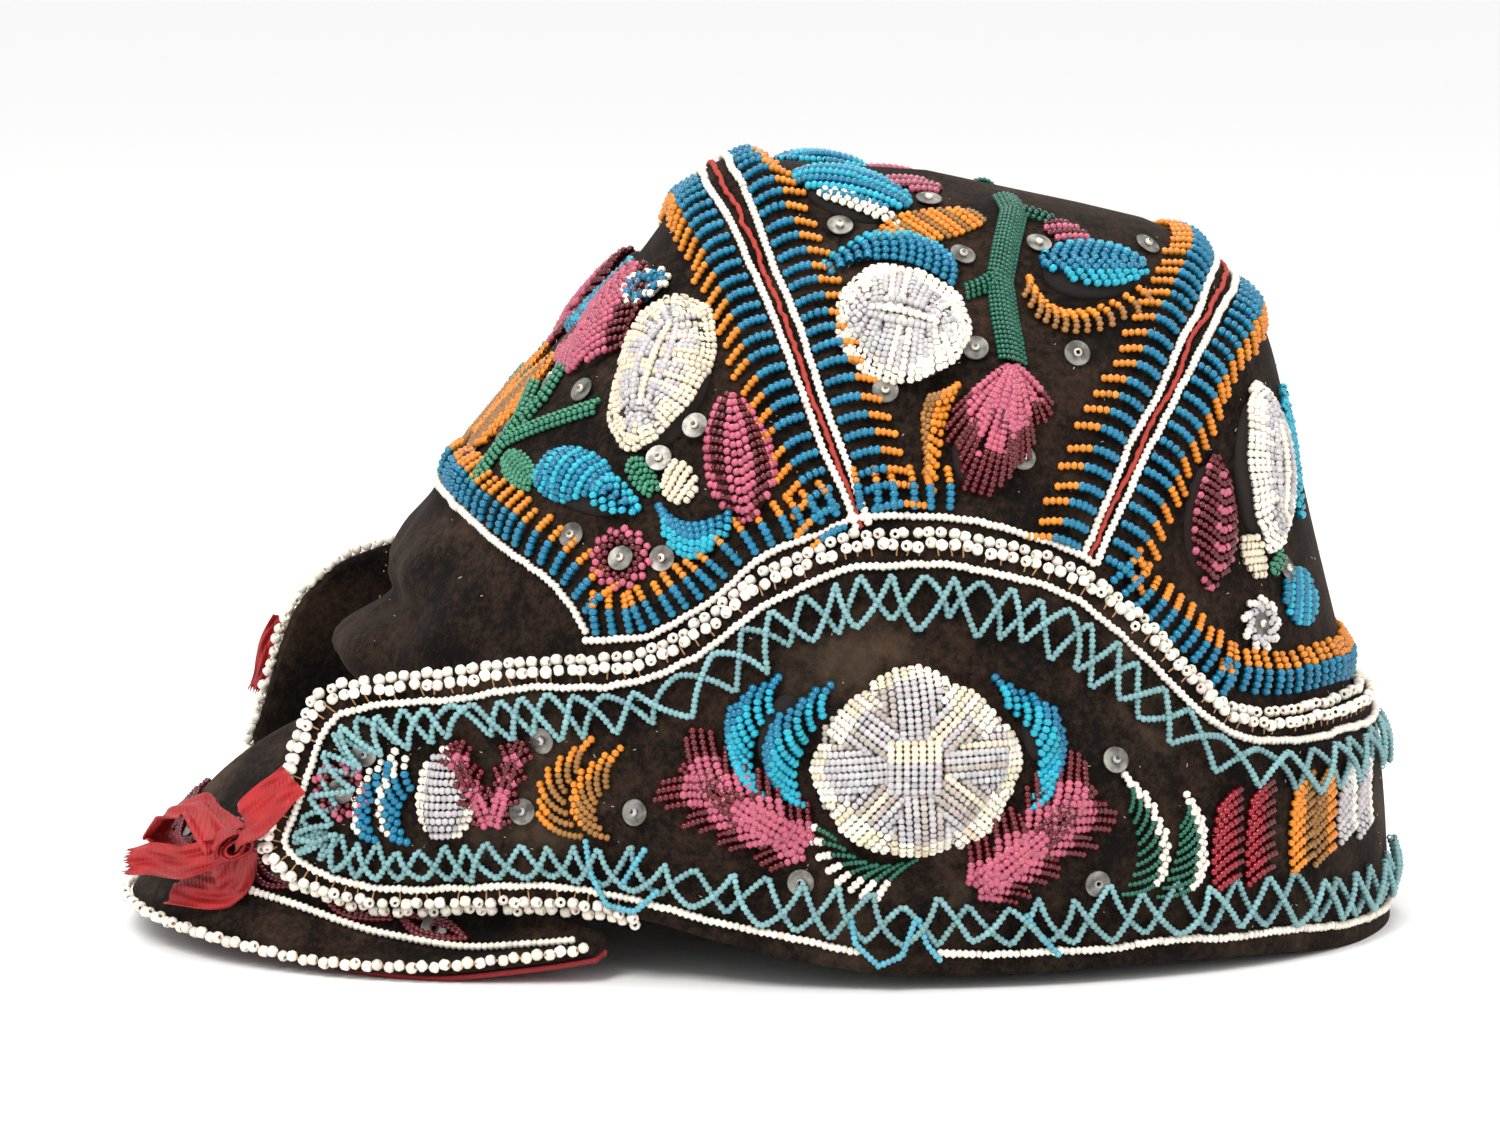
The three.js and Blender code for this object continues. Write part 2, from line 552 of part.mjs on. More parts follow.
const trimmed = shell.intersect(aboveBase);
addPiece("front_panel", fromManifold(trimmed.intersect(beforeFront).intersect(overGusset)), "velvet");
addPiece("top_strip", fromManifold(trimmed.intersect(middle)), "velvet");
addPiece("back_panel", fromManifold(trimmed.intersect(behindBack)), "velvet");
addPiece("forehead_gusset", fromManifold(trimmed.intersect(underGusset)), "velvet");

// Seam cords, each from the cuff on one side over the crown to the cuff on the other
function seamRoute(line) {
  const curve = new THREE.CatmullRomCurve3(line.map((p) => new THREE.Vector3(p.x, 0, p.z)));
  const half = [];
  for (let i = 0; i <= 240; i += 1) {
    const place = curve.getPoint(i / 240);
    const width = crownHalfWidth(place.x, place.z);
    if (width > 0.5) half.push(new THREE.Vector3(place.x, -width, place.z));
  }
  const clear = (BAND_GAP + BAND_WALL + GAP) * 2;
  const shown = half.filter((p) => {
    const turn = THREE.MathUtils.radToDeg(Math.atan2(-p.y / HALF_WIDTH, p.x / HALF_LENGTH));
    return p.z > bandEdge(-turn / TEMPLE, "top") + clear;
  });
  const crest = shown[shown.length - 1];
  const over = [...shown, new THREE.Vector3(crest.x, 0, crest.z + 0.3), ...shown.toReversed().map((p) => new THREE.Vector3(p.x, -p.y, p.z))];
  return over.filter((p, i) => i % 7 === 0 || i === over.length - 1);
}
addPiece("front_seam_cord", tube(seamRoute(front), PIPING_DIAMETER, 5), "piping");
addPiece("back_seam_cord", tube(seamRoute(back), PIPING_DIAMETER, 5), "piping");

// Cuff
const BAND_ROWS = 4;
const CROWN_STEPS = 22;
const FLAP_STEPS = [0.12, 0.3, 0.48, 0.64, 0.76, 0.86, 0.92, 0.97, 1];
const halfStops = [];
for (let i = 0; i <= CROWN_STEPS; i += 1) halfStops.push(i / CROWN_STEPS);
FLAP_STEPS.forEach((step) => halfStops.push(1 + step));
const bandStops = [...halfStops.slice(1).toReversed().map((at) => -at), ...halfStops];

function bandGrid(off) {
  const rows = [];
  for (let r = 0; r <= BAND_ROWS; r += 1) {
    rows.push(bandStops.map((at) => bandPoint(at, mix(bandEdge(at, "low"), bandEdge(at, "top"), r / BAND_ROWS), off)));
  }
  return rows;
}
addPiece("band", sheetSolid(bandGrid(BAND_WALL), bandGrid(0)), "velvet");

// The string of large beads along the cuff, from one temple round both flaps and over the top edge
const edgingRadius = EDGING_DIAMETER / 2;
const edgingOff = Math.max(BAND_WALL / 2, edgingRadius + GAP - BAND_GAP);
const flapStops = halfStops.filter((at) => at > 1);

// The cuff's outline on one side as rows of at and height, from the temple's lower edge to the back.
function cuffOutline(side) {
  const low = flapStops.map((at) => ({ at: side * at, z: bandEdge(side * at, "low") }));
  const top = halfStops.slice(1).toReversed().map((at) => ({ at: side * at, z: bandEdge(side * at, "top") }));
  return [...low, ...top];
}
const leftOutline = cuffOutline(-1);
const rightOutline = cuffOutline(1).toReversed();
const cuffEdge = [...leftOutline, { at: 0, z: bandEdge(0, "top") }, ...rightOutline];

const edging = cuffEdge.map((place, i) => {
  const before = cuffEdge[Math.max(i - 1, 0)];
  const after = cuffEdge[Math.min(i + 1, cuffEdge.length - 1)];
  const scale = bandPoint(place.at + 0.01, place.z, 0).distanceTo(bandPoint(place.at - 0.01, place.z, 0)) / 0.02;
  const run = (after.at - before.at) * scale;
  const rise = after.z - before.z;
  const length = Math.hypot(run, rise);
  const away = edgingRadius + 2 * GAP;
  return bandPoint(place.at - (away * rise) / length / scale, place.z + (away * run) / length, edgingOff);
});
addPiece("band_edging", tube(edging, EDGING_DIAMETER, 6), "white");

// Visor, its lining and its rim beads
const VISOR_COLUMNS = 28;
const VISOR_ROWS = 4;
function visorGrid(depth, outEnd) {
  const rows = [];
  for (let r = 0; r <= VISOR_ROWS; r += 1) {
    const row = [];
    for (let c = 0; c <= VISOR_COLUMNS; c += 1) {
      const round = mix(88, -88, c / VISOR_COLUMNS);
      row.push(visorLayer(round, (outEnd * r) / VISOR_ROWS, depth));
    }
    rows.push(row);
  }
  return rows.toReversed();
}
addPiece("visor", sheetSolid(visorGrid(0, 1), visorGrid(VISOR_WALL, 1)), "velvet");
const liningTop = VISOR_WALL + LINING_GAP;
addPiece("visor_lining", sheetSolid(visorGrid(liningTop, 1 - LINING_INSET), visorGrid(liningTop + LINING_WALL, 1 - LINING_INSET)), "lining");

const rimRoute = [];
for (let c = 0; c <= 40; c += 1) {
  const round = mix(-84, 84, c / 40);
  const point = visorPoint(round, 1);
  const outward = new THREE.Vector3(-Math.cos(radians(round)) / VISOR_REACH, Math.sin(radians(round)) / VISOR_HALF_WIDTH, 0).normalize();
  point.addScaledVector(outward, RIM_DIAMETER / 2 + GAP);
  point.z += RIM_LIFT - VISOR_WALL;
  rimRoute.push(point);
}
addPiece("visor_edging", tube(rimRoute, RIM_DIAMETER, 6), "white");

// Raised beadwork
function raisedPatch(surface, normalAt, motif, wide, tall) {
  const SPOKES = 12;
  const tilt = radians(motif.tilt);
  const layer = (share, lift) => {
    const ring = [];
    for (let i = 0; i < SPOKES; i += 1) {
      const angle = (-2 * Math.PI * i) / SPOKES;
      const p = wide * share * Math.cos(angle);
      const q = tall * share * Math.sin(angle);
      ring.push(surface(p * Math.cos(tilt) - q * Math.sin(tilt), p * Math.sin(tilt) + q * Math.cos(tilt), lift));
    }
    return ring;
  };
  const low = SEAT_GAP;
  const rings = [layer(0.55, low), layer(1, low), layer(0.97, low + 0.4 * motif.puff), layer(0.6, low + 0.88 * motif.puff)];
  return domeSolid(rings, surface(0, 0, low + motif.puff));
}

function crownPatch(motif) {
  const spot = (p, q, lift) => {
    const step = 0.01;
    const rise = crownPoint(motif.up + step, motif.turn).distanceTo(crownPoint(motif.up - step, motif.turn)) / (2 * step);
    const up = Math.min(motif.up + q / rise, 0.985);
    const along = crownPoint(up, motif.turn + 1).distanceTo(crownPoint(up, motif.turn - 1)) / 2;
    const turn = motif.turn - p / along;
    return crownPoint(up, turn).addScaledVector(crownNormal(up, turn), lift);
  };
  return raisedPatch(spot, null, motif, motif.wide * HALF_WIDTH, motif.tall * HALF_WIDTH);
}

function bandPatch(motif) {
  const along = motif.at <= 1
    ? bandPoint(motif.at + 0.02, motif.height * CROWN_HEIGHT, 0).distanceTo(bandPoint(motif.at - 0.02, motif.height * CROWN_HEIGHT, 0)) / 0.04
    : FLAP_LENGTH;
  const spot = (p, q, lift) => bandPoint(motif.at - p / along, motif.height * CROWN_HEIGHT + q, BAND_WALL + lift);
  return raisedPatch(spot, null, motif, motif.wide * CROWN_HEIGHT, motif.tall * CROWN_HEIGHT);
}

// The same solid on the other side of the cap.
function mirrored(geometry) {
  const copy = geometry.clone();
  copy.scale(1, -1, 1);
  const index = copy.index.array;
  for (let i = 0; i < index.length; i += 3) {
    const swap = index[i];
    index[i] = index[i + 2];
    index[i + 2] = swap;
  }
  return copy;
}

function addPair(name, geometry, finish) {
  addPiece(`right_${name}`, geometry, finish);
  addPiece(`left_${name}`, mirrored(geometry), finish);
}
CROWN_MOTIFS.forEach((motif) => addPair(motif.name, crownPatch(motif), motif.colour));
BAND_MOTIFS.forEach((motif) => addPair(motif.name, bandPatch(motif), motif.colour));

// Ribbon
function stripSolid(places, sideways, width) {
  const curve = new THREE.CatmullRomCurve3(places);
  const count = 3 * (places.length - 1);
  const outer = [[], []];
  const inner = [[], []];
  for (let i = 0; i <= count; i += 1) {
    const share = i / count;
    const centre = curve.getPoint(share);
    const run = curve.getTangent(share);
    const index = Math.min(Math.floor(share * (places.length - 1)), places.length - 2);
    const part = share * (places.length - 1) - index;
    const across = sideways[index].clone().lerp(sideways[index + 1], part);
    across.addScaledVector(run, -across.dot(run)).normalize();
    const normal = across.clone().cross(run).normalize();
    for (const [row, sign] of [[0, 1], [1, -1]]) {
      const edge = centre.clone().addScaledVector(across, (sign * width) / 2);
      outer[row].push(edge.clone().addScaledVector(normal, RIBBON_WALL / 2));
      inner[row].push(edge.clone().addScaledVector(normal, -RIBBON_WALL / 2));
    }
  }
  return sheetSolid(outer, inner);
}

// The knot lies just past the left flap's end, and the strap ties it to the flap's face.
const KNOT_HEIGHT = 0.155 * CROWN_HEIGHT;
const knotRadius = RIBBON_WIDTH * 0.45;
const pastFlap = (along) => -(2 + along / FLAP_LENGTH);
const knotPlace = bandPoint(pastFlap(2 * edgingRadius + GAP + knotRadius), KNOT_HEIGHT, BAND_WALL);
const knot = new THREE.IcosahedronGeometry(knotRadius, 1);
knot.scale(1, 0.85, 0.9);
knot.translate(knotPlace.x, knotPlace.y, knotPlace.z);
addPiece("ribbon_knot", knot, "ribbon");

for (const [name, rows] of Object.entries(RIBBON_RUNS)) {
  const places = rows.map((row) => {
    const step = new THREE.Vector3(-row.ahead, row.inward, row.rise);
    return knotPlace.clone().addScaledVector(step, RIBBON_WIDTH);
  });
  const sideways = rows.map((row) => new THREE.Vector3(-row.wideAhead, row.wideIn, row.wideUp).normalize());
  const width = name === "ribbon_tail" ? 0.6 * RIBBON_WIDTH : 0.85 * RIBBON_WIDTH;
  addPiece(name, stripSolid(places, sideways, width), "ribbon");
}

const strapOff = edgingOff + edgingRadius + GAP + RIBBON_WALL;
const strapPlaces = [
  bandPoint(-1.9, 0.235 * CROWN_HEIGHT, strapOff),
  bandPoint(-1.97, 0.21 * CROWN_HEIGHT, strapOff + 1),
  bandPoint(pastFlap(2 * edgingRadius), 0.18 * CROWN_HEIGHT, strapOff + 1.5),
];
const strapSideways = strapPlaces.map(() => new THREE.Vector3(0.35, 0, 1));
addPiece("ribbon_strap", stripSolid(strapPlaces, strapSideways, RIBBON_WIDTH * 0.85), "ribbon");

// The scrap of ribbon left on the right flap's edge
const scrapPlaces = [1.85, 1.9, 1.94].map((at) => bandPoint(at, bandEdge(at, "top"), strapOff + 0.6));
const scrapSideways = scrapPlaces.map(() => new THREE.Vector3(-1, 0.3, 0.6));
addPiece("ribbon_scrap", stripSolid(scrapPlaces, scrapSideways, RIBBON_WIDTH / 2), "ribbon");

// The origin is the middle of the bounding box at the floor
const box = new THREE.Box3().setFromObject(cap);
const middlePoint = box.getCenter(new THREE.Vector3());
cap.children.forEach((mesh) => mesh.geometry.translate(-middlePoint.x, -middlePoint.y, -box.min.z));

export default cap;
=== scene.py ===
# The dressed model of a beaded velvet cap with a visor, built over its CAD frame.
# Shapes are worked out in millimetres, in the same tables as the solids, and made in metres.
import math

import bpy
import numpy as np
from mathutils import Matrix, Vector
from mathutils.bvhtree import BVHTree


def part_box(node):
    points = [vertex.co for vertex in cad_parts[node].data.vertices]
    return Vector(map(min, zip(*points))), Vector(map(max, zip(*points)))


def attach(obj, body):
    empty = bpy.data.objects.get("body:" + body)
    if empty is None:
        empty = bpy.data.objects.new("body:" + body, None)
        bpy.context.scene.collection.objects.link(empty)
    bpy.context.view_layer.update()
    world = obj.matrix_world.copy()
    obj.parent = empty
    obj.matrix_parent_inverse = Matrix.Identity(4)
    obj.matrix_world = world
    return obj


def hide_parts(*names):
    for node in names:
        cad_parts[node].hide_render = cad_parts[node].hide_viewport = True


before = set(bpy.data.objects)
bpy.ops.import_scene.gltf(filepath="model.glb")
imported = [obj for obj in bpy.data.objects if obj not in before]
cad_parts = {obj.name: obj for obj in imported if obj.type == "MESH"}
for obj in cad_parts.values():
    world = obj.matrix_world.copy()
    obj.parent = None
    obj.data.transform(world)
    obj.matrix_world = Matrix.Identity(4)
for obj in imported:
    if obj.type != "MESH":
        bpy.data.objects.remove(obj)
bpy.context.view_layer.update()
MM = 0.001
rng = np.random.default_rng(7)

# Sizes of the cap, in millimetres
HALF_LENGTH = 107.0
HALF_WIDTH = 79.0
CROWN_HEIGHT = 162.0
CROWN_WALL = 2.0
BAND_WALL = 2.2
BAND_GAP = 0.5
FLAP_LENGTH = 73.5
FLAP_FLARE = 8.0
TEMPLE = 124.0
VISOR_REACH = 95.0
VISOR_HALF_WIDTH = 68.0
VISOR_WALL = 2.0
VISOR_BULGE = 7.0
VISOR_SPAN = 54.0
LINING_GAP = 0.5
LINING_WALL = 1.0
SEAT_GAP = 0.6
RIBBON_WIDTH = 9.0


def table(columns, rows):
    """A short table as one array for each named column."""
    values = np.array(rows, float).T
    return dict(zip(columns.split(), values))


RINGS = table(
    "at frontX frontZ backX backZ half square",
    [
        (0.0, -0.96, -0.03, 0.985, -0.03, 1.0, 2.15),
        (0.18, -0.985, 0.2, 0.96, 0.2, 0.985, 2.15),
        (0.34, -1.015, 0.37, 0.91, 0.34, 0.95, 2.15),
        (0.5, -0.89, 0.555, 0.84, 0.52, 0.88, 2.2),
        (0.62, -0.77, 0.655, 0.79, 0.655, 0.79, 2.3),
        (0.74, -0.62, 0.765, 0.745, 0.765, 0.675, 2.35),
        (0.84, -0.49, 0.857, 0.7, 0.815, 0.545, 2.4),
        (0.92, -0.385, 0.945, 0.64, 0.86, 0.4, 2.4),
        (0.97, -0.3, 0.988, 0.54, 0.9, 0.25, 2.3),
        (1.0, 0.08, 0.972, 0.08, 0.972, 0, 2.2),
    ],
)
FOLDS = table(
    "height spread swell reach",
    [(0.365, 0.04, 0.065, 34), (0.43, 0.026, -0.035, 42), (0.475, 0.045, 0.02, 28)],
)
FRONT_SEAM = table(
    "x z",
    [
        (0, -0.2), (-0.03, 0.3), (-0.119, 0.56), (-0.184, 0.683),
        (-0.244, 0.809), (-0.294, 0.906), (-0.335, 0.975), (-0.38, 1.2),
    ],
)
BACK_SEAM = table(
    "x z",
    [
        (0.12, -0.2), (0.19, 0.3), (0.299, 0.51), (0.407, 0.644),
        (0.535, 0.771), (0.62, 0.826), (0.7, 0.868), (1.0, 1.02),
    ],
)
GUSSET_LINE = table(
    "x z",
    [
        (-1.3, 0.571), (-0.881, 0.564), (-0.801, 0.527), (-0.732, 0.503), (-0.679, 0.477),
        (-0.636, 0.432), (-0.6, 0.39), (-0.56, 0.25), (-0.55, -0.2),
    ],
)
BASE_LINE = table(
    "x z",
    [
        (-1.4, 0.26), (-0.99, 0.235), (-0.89, 0.18), (-0.75, 0.13), (-0.55, 0.096), (-0.42, 0.07),
        (-0.25, 0.045), (-0.05, 0.028), (0.45, 0.027), (0.8, 0.012), (1.4, 0.005),
    ],
)
BAND_EDGES = table(
    "at low top farTop",
    [
        (0.0, 0, 0.298, 0.298),
        (0.19, 0, 0.3, 0.3),
        (0.25, 0, 0.301, 0.301),
        (0.345, 0.008, 0.303, 0.303),
        (0.37, 0.011, 0.305, 0.305),
        (0.414, 0.016, 0.323, 0.323),
        (0.452, 0.019, 0.374, 0.374),
        (0.481, 0.021, 0.417, 0.417),
        (0.511, 0.022, 0.454, 0.454),
        (0.573, 0.022, 0.507, 0.507),
        (0.633, 0.02, 0.534, 0.534),
        (0.704, 0.02, 0.551, 0.551),
        (0.783, 0.024, 0.552, 0.552),
        (0.828, 0.034, 0.529, 0.529),
        (0.881, 0.048, 0.493, 0.5),
        (0.905, 0.057, 0.455, 0.475),
        (0.937, 0.068, 0.423, 0.455),
        (0.972, 0.08, 0.401, 0.443),
        (1.05, 0.095, 0.393, 0.44),
        (1.2, 0.098, 0.389, 0.45),
        (1.39, 0.095, 0.375, 0.458),
        (1.66, 0.088, 0.358, 0.433),
        (1.78, 0.092, 0.341, 0.385),
        (1.866, 0.105, 0.283, 0.32),
        (1.91, 0.111, 0.245, 0.28),
        (1.97, 0.135, 0.19, 0.225),
        (2.0, 0.15, 0.165, 0.2),
    ],
)
VISOR = table(
    "at rim seat bulge",
    [
        (0, 0.035, 0.305, 1),
        (20, 0.029, 0.29, 0.85),
        (40, 0.017, 0.225, 0.2),
        (55, 0.006, 0.155, -0.5),
        (65, 0.007, 0.112, -0.6),
        (78, 0.021, 0.075, -0.3),
        (90, 0.038, 0.056, 0),
    ],
)


def motif_table(columns, rows):
    """A short table of motifs as one dictionary for each name."""
    return {name: dict(zip(columns.split(), values)) for name, *values in rows}


# Raised motifs: turn and up place those of the crown, at and height those of the cuff
CROWN_MOTIFS = motif_table(
    "turn up wide tall tilt puff colour",
    [
        ("rose_front", 133.9, 0.709, 0.128, 0.269, 26.8, 4.5, "white"),
        ("bud_front", 115.4, 0.61, 0.076, 0.193, 29.6, 3.5, "pink"),
        ("bud_high", 159.5, 0.779, 0.103, 0.207, 24, 3, "pink"),
        ("bud_low", 135.2, 0.558, 0.157, 0.066, -14.2, 3, "blue"),
        ("rose_top", 99.4, 0.783, 0.143, 0.208, 41.8, 4.5, "white"),
        ("bud_top", 81.4, 0.644, 0.109, 0.173, -11.1, 3.5, "pink"),
        ("leaf_back", 65.4, 0.883, 0.157, 0.095, 10.5, 3, "blue"),
        ("flower_top", 116.6, 0.951, 0.156, 0.098, -20, 3, "blue"),
        ("bud_back", 49.6, 0.527, 0.078, 0.163, -11.1, 3.5, "pink"),
        ("rose_back", 36.1, 0.577, 0.121, 0.216, -15.5, 4.5, "white"),
    ],
)
BAND_MOTIFS = motif_table(
    "at height wide tall tilt puff colour",
    [
        ("rosette", 0.73, 0.283, 0.132, 0.108, 32, 5, "white"),
        ("feather_front", 0.839, 0.321, 0.028, 0.059, -23.6, 3, "blue"),
        ("feather_rear", 0.611, 0.321, 0.023, 0.047, -8.6, 3, "blue"),
        ("fern_front", 0.884, 0.239, 0.04, 0.074, 41, 3, "pink"),
        ("fern_rear", 0.627, 0.193, 0.039, 0.094, -53.1, 3, "pink"),
        ("fan", 1.467, 0.231, 0.032, 0.056, -16.3, 3.5, "white"),
    ],
)

# Camera, in millimetres and pixels of a 1500 by 1125 picture
CAMERA_TURN = -6.0
CAMERA_RISE = 8.5
CAMERA_DISTANCE = 1300.0
CAMERA_TARGET = np.array([-1.5, 0.0, 75.0])
FOCAL_PIXELS = 6175.0
PICTURE_WIDTH = 1500.0
PICTURE_HEIGHT = 1125.0


def follow(rows, column, at):
    """A smooth value from one column of a table, with no overshoot between rows."""
    x = rows["at"]
    y = rows[column]
    step = np.diff(x)
    rise = np.diff(y) / step
    slope = np.zeros_like(y)
    slope[0] = rise[0]
    slope[-1] = rise[-1]
    for i in range(1, len(y) - 1):
        if rise[i - 1] * rise[i] > 0:
            before = 2 * step[i] + step[i - 1]
            after = step[i] + 2 * step[i - 1]
            slope[i] = (before + after) / (before / rise[i - 1] + after / rise[i])
    at = np.clip(np.asarray(at, float), x[0], x[-1])
    k = np.clip(np.searchsorted(x, at, side="right") - 1, 0, len(x) - 2)
    s = (at - x[k]) / step[k]
    value = (1 + 2 * s) * (1 - s) ** 2 * y[k] + s * s * (3 - 2 * s) * y[k + 1]
    return value + (s * (1 - s) ** 2 * slope[k] + s * s * (s - 1) * slope[k + 1]) * step[k]


def unit(v):
    """Vectors scaled to a length of one."""
    return v / np.maximum(np.linalg.norm(v, axis=-1, keepdims=True), 1e-9)


def run_along(points):
    """The length walked along a path up to each of its points."""
    steps = np.linalg.norm(np.diff(points, axis=0), axis=1)
    return np.concatenate([[0.0], np.cumsum(steps)])


def sampled(at, run, values):
    """Each column of values, read at chosen places of a run."""
    return np.stack([np.interp(at, run, column) for column in values.T], -1)


def smoothed(values, count):
    """Each column of values as a moving mean over count rows."""
    return np.stack([np.convolve(column, np.ones(count) / count, "valid") for column in values.T], -1)


def soft_noise(length, window, divisor):
    """A random line that wanders slowly, one value for each step of a path."""
    draws = rng.normal(0, 1, length + window - 1)
    return np.convolve(draws, np.ones(window) / divisor, "valid")[:length]


def even(points, spacing):
    """A path with its points set again at about one spacing."""
    run = run_along(points)
    at = np.linspace(0, run[-1], max(int(run[-1] / spacing), 3))
    return sampled(at, run, points)


# Crown
def crown_section(up):
    """The front and back ends of one level ring of the crown, in the side view."""
    front_x = follow(RINGS, "frontX", up) * HALF_LENGTH
    back_x = follow(RINGS, "backX", up) * HALF_LENGTH
    front_z = follow(RINGS, "frontZ", up) * CROWN_HEIGHT
    back_z = follow(RINGS, "backZ", up) * CROWN_HEIGHT
    return front_x, back_x, front_z, back_z


def crown_point(up, turn):
    """A point of the crown's outer face at a ring from 0 to 1 and a turn in degrees from the back."""
    up, turn = np.broadcast_arrays(np.asarray(up, float), np.radians(np.asarray(turn, float)))
    front_x, back_x, front_z, back_z = crown_section(up)
    half = follow(RINGS, "half", up) * HALF_WIDTH
    power = follow(RINGS, "square", up)
    c = np.cos(turn)
    s = np.sin(turn)
    reach = (np.abs(c) ** power + np.abs(s) ** power) ** (-1 / power)
    x = (front_x + back_x) / 2 + (back_x - front_x) / 2 * reach * c
    z = front_z + (back_z - front_z) * (reach * c + 1) / 2
    from_front = np.degrees(np.arccos(np.clip(-c, -1, 1)))
    for height, spread, swell, reach_round in zip(*FOLDS.values()):
        near = np.clip(from_front / reach_round, 0, 1)
        fade = np.cos(np.radians(90 * near)) ** 2
        x = x - swell * HALF_LENGTH * np.exp(-(((z / CROWN_HEIGHT - height) / spread) ** 2)) * fade
    return np.stack([x + SHIFT_X, half * reach * s, z], -1)


def crown_normal(up, turn):
    """The outward direction of the crown's face, straight up at its very top."""
    up = np.asarray(up, float)
    turn = np.asarray(turn, float)
    step = 0.002
    rise = crown_point(np.clip(up + step, 0, 1), turn) - crown_point(np.clip(up - step, 0, 1), turn)
    near_top = np.minimum(up, 0.998)
    along = crown_point(near_top, turn + 0.5) - crown_point(near_top, turn - 0.5)
    normal = unit(np.cross(along, rise))
    return np.where((up > 0.997)[..., None], np.array([0.0, 0.0, 1.0]), normal)


def ring_for_height(turn, height):
    """The ring at which the crown reaches a height, at one turn."""
    turn, height = np.broadcast_arrays(np.asarray(turn, float), np.asarray(height, float))
    low = np.zeros(turn.shape)
    high = np.full(turn.shape, 0.999)
    for _ in range(30):
        middle = (low + high) / 2
        under = crown_point(middle, turn)[..., 2] < height
        low = np.where(under, middle, low)
        high = np.where(under, high, middle)
    return (low + high) / 2


def side_half_width(x, z):
    """The half width of the crown at a place of the side view."""
    low = np.zeros(np.shape(x))
    high = np.full(np.shape(x), 0.999)
    for _ in range(34):
        middle = (low + high) / 2
        front_x, back_x, front_z, back_z = crown_section(middle)
        share = (x - front_x) / (back_x - front_x)
        under = front_z + (back_z - front_z) * share < z
        low = np.where(under, middle, low)
        high = np.where(under, high, middle)
    up = (low + high) / 2
    front_x, back_x, _, _ = crown_section(up)
    share = np.clip(np.abs((x - (front_x + back_x) / 2) / ((back_x - front_x) / 2)), 0, 1)
    power = follow(RINGS, "square", up)
    return follow(RINGS, "half", up) * HALF_WIDTH * (1 - share**power) ** (1 / power)


# Cuff
def band_point(at, height, off):
    """A point of the cuff, on its right-hand side for positive at, off its inner face."""
    at, height = np.broadcast_arrays(np.asarray(at, float), np.asarray(height, float))
    side = np.where(at < 0, -1.0, 1.0)
    turn = np.minimum(np.abs(at), 1) * TEMPLE
    up = ring_for_height(turn, height)
    point = crown_point(up, turn)
    normal = crown_normal(up, turn)
    level = np.hypot(normal[..., 0], normal[..., 1])[..., None]
    outward = normal * np.array([1.0, 1.0, 0.0]) / level
    point = point + outward * (BAND_GAP + np.asarray(off)[..., None]) / level
    along = np.maximum((np.abs(at) - 1) * FLAP_LENGTH, 0)[..., None]
    forward = np.stack([-outward[..., 1], outward[..., 0], 0 * outward[..., 0]], -1)
    ease = 8 * (1 - np.exp(-along / 8))
    point = point + forward * along + outward * math.tan(math.radians(FLAP_FLARE)) * (along - ease)
    point[..., 1] *= side
    return point


def band_edge(at, edge):
    """The height of the cuff's low or top edge, the right-hand flap having a top edge of its own."""
    at = np.asarray(at, float)
    value = follow(BAND_EDGES, edge, np.abs(at))
    if edge == "top":
        value = np.where(at > 0, follow(BAND_EDGES, "farTop", np.abs(at)), value)
    return value * CROWN_HEIGHT


# The cap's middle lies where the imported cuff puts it
SHIFT_X = 0.0
SHIFT_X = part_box("band")[1].x / MM - band_point(0.0, 0.0, BAND_WALL)[0]


# Visor
def visor_point(turn_round, out):
    """A point of the visor's upper face, from its seat at out 0 to its rim at out 1."""
    turn_round, out = np.broadcast_arrays(np.asarray(turn_round, float), np.asarray(out, float))
    angle = np.abs(turn_round)
    side = np.where(turn_round < 0, -1.0, 1.0)
    turn = 180 - VISOR_SPAN * angle / 90
    up = ring_for_height(turn, follow(VISOR, "seat", angle) * CROWN_HEIGHT)
    normal = unit(crown_normal(up, turn) * np.array([1.0, 1.0, 0.0]))
    seat = crown_point(up, turn) + normal * SEAT_GAP
    temple_x = crown_point(0.18, 180 - VISOR_SPAN)[0]
    rim = np.stack(
        [
            temple_x - VISOR_REACH * np.cos(np.radians(angle)),
            VISOR_HALF_WIDTH * np.sin(np.radians(angle)),
            follow(VISOR, "rim", angle) * CROWN_HEIGHT + VISOR_WALL,
        ],
        -1,
    )
    point = seat + (rim - seat) * out[..., None]
    swell = (follow(VISOR, "bulge", angle) * VISOR_BULGE * np.sin(np.pi * np.minimum(out, 1)))[..., None]
    point = point + normal * 0.6 * swell + np.array([0.0, 0.0, 0.8]) * swell
    point[..., 1] *= side
    return point


def visor_normal(turn_round, out):
    """The upward direction of the visor's face."""
    turn_round, out = np.asarray(turn_round), np.asarray(out)
    step = 0.02
    outward = visor_point(turn_round, out + step) - visor_point(turn_round, out - step)
    along = visor_point(turn_round + 1.0, out) - visor_point(turn_round - 1.0, out)
    normal = unit(np.cross(along, outward))
    return normal * np.where(normal[..., 2:] < 0, -1.0, 1.0)


def visor_layer(turn_round, out, depth):
    """A point at a depth under the visor's upper face, straight down at the seat."""
    normal = visor_normal(turn_round, out)
    out = np.asarray(out, float)[..., None]
    direction = unit(np.array([0.0, 0.0, 1.0]) * (1 - out) + normal * out)
    lean = np.maximum(np.sum(direction * normal, -1, keepdims=True), 0.4)
    return visor_point(turn_round, out[..., 0]) - direction * depth / lean


